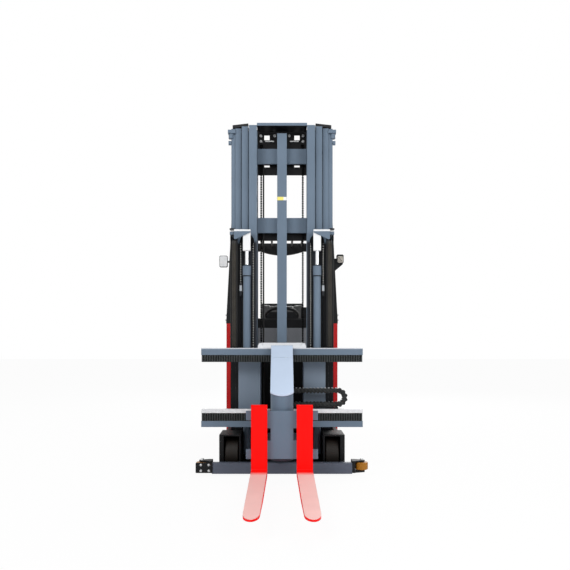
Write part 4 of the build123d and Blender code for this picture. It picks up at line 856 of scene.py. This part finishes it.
def chain_links(spots, ways):
    """Links at their spots, each turned along its way: two hinged side plates and a bar above and below."""
    plate = moulded(rounded(0.036, 0.034, 0.0155, 5),
                    [(-0.002, 0.0006), (-0.0014, 0.0), (0.0014, 0.0), (0.002, 0.0006)])
    boss = turned([(0.009, -0.0035), (0.009, 0.003), (0.007, 0.0038)], 12)
    bar = moulded(rounded(0.013, 0.047, 0.002, 2), [(-0.002, 0.0), (0.0018, 0.0), (0.0024, 0.001)])
    spots = np.asarray(spots, float)
    ways = np.asarray(ways, float)
    lean = np.where(np.arange(len(spots)) % 2, side_out, side_in)[:, None] * (0.0, 1.0, 0.0)
    hinge = spots + link_pitch / 2 * ways
    up = np.cross(ways, (0.0, 1.0, 0.0))
    shapes = [set_out(plate, spots + s * lean, (0, s, 0), ways) for s in left_right]
    shapes += [set_out(boss, hinge + (0.0, s * boss_out, 0.0), (0, s, 0), ways) for s in left_right]
    shapes += [set_out(bar, spots + s * bar_up * up, s * up, ways) for s in left_right]
    return together(*shapes)


link_low, link_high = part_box("energy_chain")
link_y = (link_low.y + link_high.y) / 2
half_tall, bar_top, top_highlight_reach = 0.0205, 0.0174, 0.1
upper_z = link_high.z - half_tall
lower_z = upper_z - 2 * bend_r
upper_x = bend_x - link_pitch * (0.5 + np.arange(12))
lower_x = bend_x - link_pitch * (0.5 + np.arange(16))
round_turn = np.radians(15.0 + 30.0 * np.arange(6))
upper = np.stack([upper_x, link_y + 0 * upper_x, upper_z + 0 * upper_x], -1)
lower = np.stack([lower_x, link_y + 0 * lower_x, lower_z + 0 * lower_x], -1)
round_end = np.stack([bend_x + bend_r * np.sin(round_turn), link_y + 0 * round_turn,
                      upper_z + bend_r * (np.cos(round_turn) - 1)], -1)
round_way = np.stack([np.cos(round_turn), 0 * round_turn, -np.sin(round_turn)], -1)
# The pale on the upper run's top faces is a painted highlight.
chain_black = cast_tread("chain_black", ink(34, 36, 36), rough=0.45, grain=600.0, second=ink(206, 208, 210),
                         spans=[(2, upper_z + bar_top, upper_z + top_highlight_reach)])
head_end, fixed_end = upper_x[-1] - link_pitch / 2, lower_x[-1] - link_pitch / 2
# The bend's start and end are set far off, but the links are made without them.
far_off = 900.0
runs = (("upper", upper, (1.0, 0.0, 0.0),
         (2 * bend_x - head_end, link_y, upper_z), (head_end, link_y, upper_z)),
        ("lower", lower, (-1.0, 0.0, 0.0),
         (fixed_end, link_y, lower_z), (2 * bend_x - fixed_end, link_y, lower_z)),
        ("bend", round_end, round_way,
         (bend_x, link_y, upper_z + far_off), (bend_x, link_y, upper_z - far_off)))
for name, spots, ways_on, start, end in runs:
    run_links = chain_links(spots, np.broadcast_to(ways_on, spots.shape))
    links = fit(f"links_{name}", run_links, chain_black)
    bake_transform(links)
    if name == "upper":
        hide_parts("energy_chain")

# Head: welded cheeks under a pale folded cover whose edges are white as a painted highlight, a turned bearing
# housing and a black swivel column with the fork carriage on it. A bent strip behind the cheek tows the
# energy chain.
coat(enamel("head_slate", ink(104, 122, 140), bare_edge), "head_housing", "fork_carriage")
# The white that shows on the cover's corners is a painted highlight.
coat(enamel("pale_cover", ink(198, 214, 236), ink(248, 250, 253), rub=0.9), "head_cover")
coat(chassis_slate, "head_frame")
coat(enamel("column_black", ink(22, 24, 23), ink(90, 90, 90), rough=0.42, rub=0.2), "turret_column")
cheek_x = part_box("head_frame")[1].x
tow = [(cheek_x + 0.003, y, upper_z) for y in np.linspace(-0.72, -0.62, 5)]
tow += [(cheek_x + 0.006, -0.596, upper_z), (cheek_x + 0.013, -0.58, upper_z), (head_end, link_y, upper_z)]
tow_strip = drawn(tow, rounded(0.005, 0.036, 0.001, 2), (1.0, 0.0, 0.0))
fit("chain_tow", tow_strip, mast_black, "head")

# Forks: forged, hooked over the bars, in bright red enamel, with a pale pink painted reflection along the
# blades' tops from a little in front of the heels.
blade_top, shank_thick, heel_clear = 0.12, 0.0690, 0.105
shank_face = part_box("forks")[1].y - shank_thick
scuff_and_reflection = [(1, -beyond, shank_face - heel_clear, 0.05), (2, blade_top - 0.0012, beyond, 0.0006)]
# The pale pink on the blades' tops is a painted reflection.
coat(enamel("fork_red", ink(255, 12, 8), ink(150, 60, 56), rough=0.45, rub=0.3, shine=0.12,
            second=ink(255, 204, 198), spans=scuff_and_reflection), "forks")

# Floor and light: a white studio sweep, three big soft boxes and an even white surround that shows brighter
# than it lights. The camera stands square in front of the truck, just under a metre up.
surround_lit, surround_seen = 0.4, 1.0
studio = bpy.data.worlds.new("studio")
bpy.context.scene.world = studio
studio.use_nodes = True
tree = studio.node_tree
rays = shade(tree, "LightPath", {}).outputs
seen = rays["Is Camera Ray"]
for kind in ("Is Glossy Ray", "Is Transmission Ray"):
    seen = shade(tree, "Math", {0: seen, 1: rays[kind]}, operation="MAXIMUM").outputs[0]
sky = tree.nodes["Background"].inputs
sky["Color"].default_value = (1.0, 1.0, 1.0, 1.0)
tree.links.new(between(tree, seen, 0.0, 1.0, surround_lit, surround_seen), sky["Strength"])

sweep_half, floor_glow = 40.0, 0.95
sweep = bpy.data.meshes.new("studio_floor")
sweep_corners = [(sweep_half * x, sweep_half * y, 0.0) for x, y in ((-1, -1), (1, -1), (1, 1), (-1, 1))]
sweep.from_pydata(sweep_corners, [], [(0, 1, 2, 3)])
floor = bpy.data.objects.new("studio_floor", sweep)
bpy.context.scene.collection.objects.link(floor)
finish, tree, skin, place = blank("studio_white")
skin.inputs["Base Color"].default_value = (0.9, 0.9, 0.9, 1.0)
skin.inputs["Roughness"].default_value = 0.8
glow = shade(tree, "Emission", {"Color": (1.0, 1.0, 1.0, 1.0), "Strength": 1.0})
ray = shade(tree, "LightPath", {}).outputs["Is Camera Ray"]
share = times(tree, ray, floor_glow)
mix = shade(tree, "MixShader", {0: share, 1: skin.outputs[0], 2: glow.outputs[0]})
tree.links.new(mix.outputs[0], tree.nodes["Material Output"].inputs["Surface"])
sweep.materials.append(finish)

for name, spot, aim, size, watts in (
        ("key", (-3.2, -5.5, 4.8), (0.0, -0.6, 0.8), 3.0, 200.0),
        ("fill", (3.6, -5.0, 3.2), (0.0, -0.6, 0.9), 3.0, 140.0),
        ("rim", (1.5, 5.5, 4.5), (0.0, 1.0, 1.0), 3.0, 240.0)):
    lamp = bpy.data.lights.new(name, "AREA")
    lamp.size = size
    lamp.energy = watts
    held = bpy.data.objects.new(name, lamp)
    way = np.array(aim) - np.array(spot)
    held.location = spot
    held.rotation_euler = (math.atan2(math.hypot(way[0], way[1]), -way[2]), 0.0, math.atan2(-way[0], way[1]))
    bpy.context.scene.collection.objects.link(held)

view = bpy.data.cameras.new("view")
view.sensor_width = 36.0
view.lens = 39.3
view.shift_x = 0.0053
view.shift_y = 0.107
eye = bpy.data.objects.new("view", view)
eye.location = (0.0, -5.245, 0.94)
eye.rotation_euler = (math.pi / 2, 0.0, 0.0)
bpy.context.scene.collection.objects.link(eye)
bpy.context.scene.camera = eye
bpy.context.scene.view_settings.view_transform = "Standard"
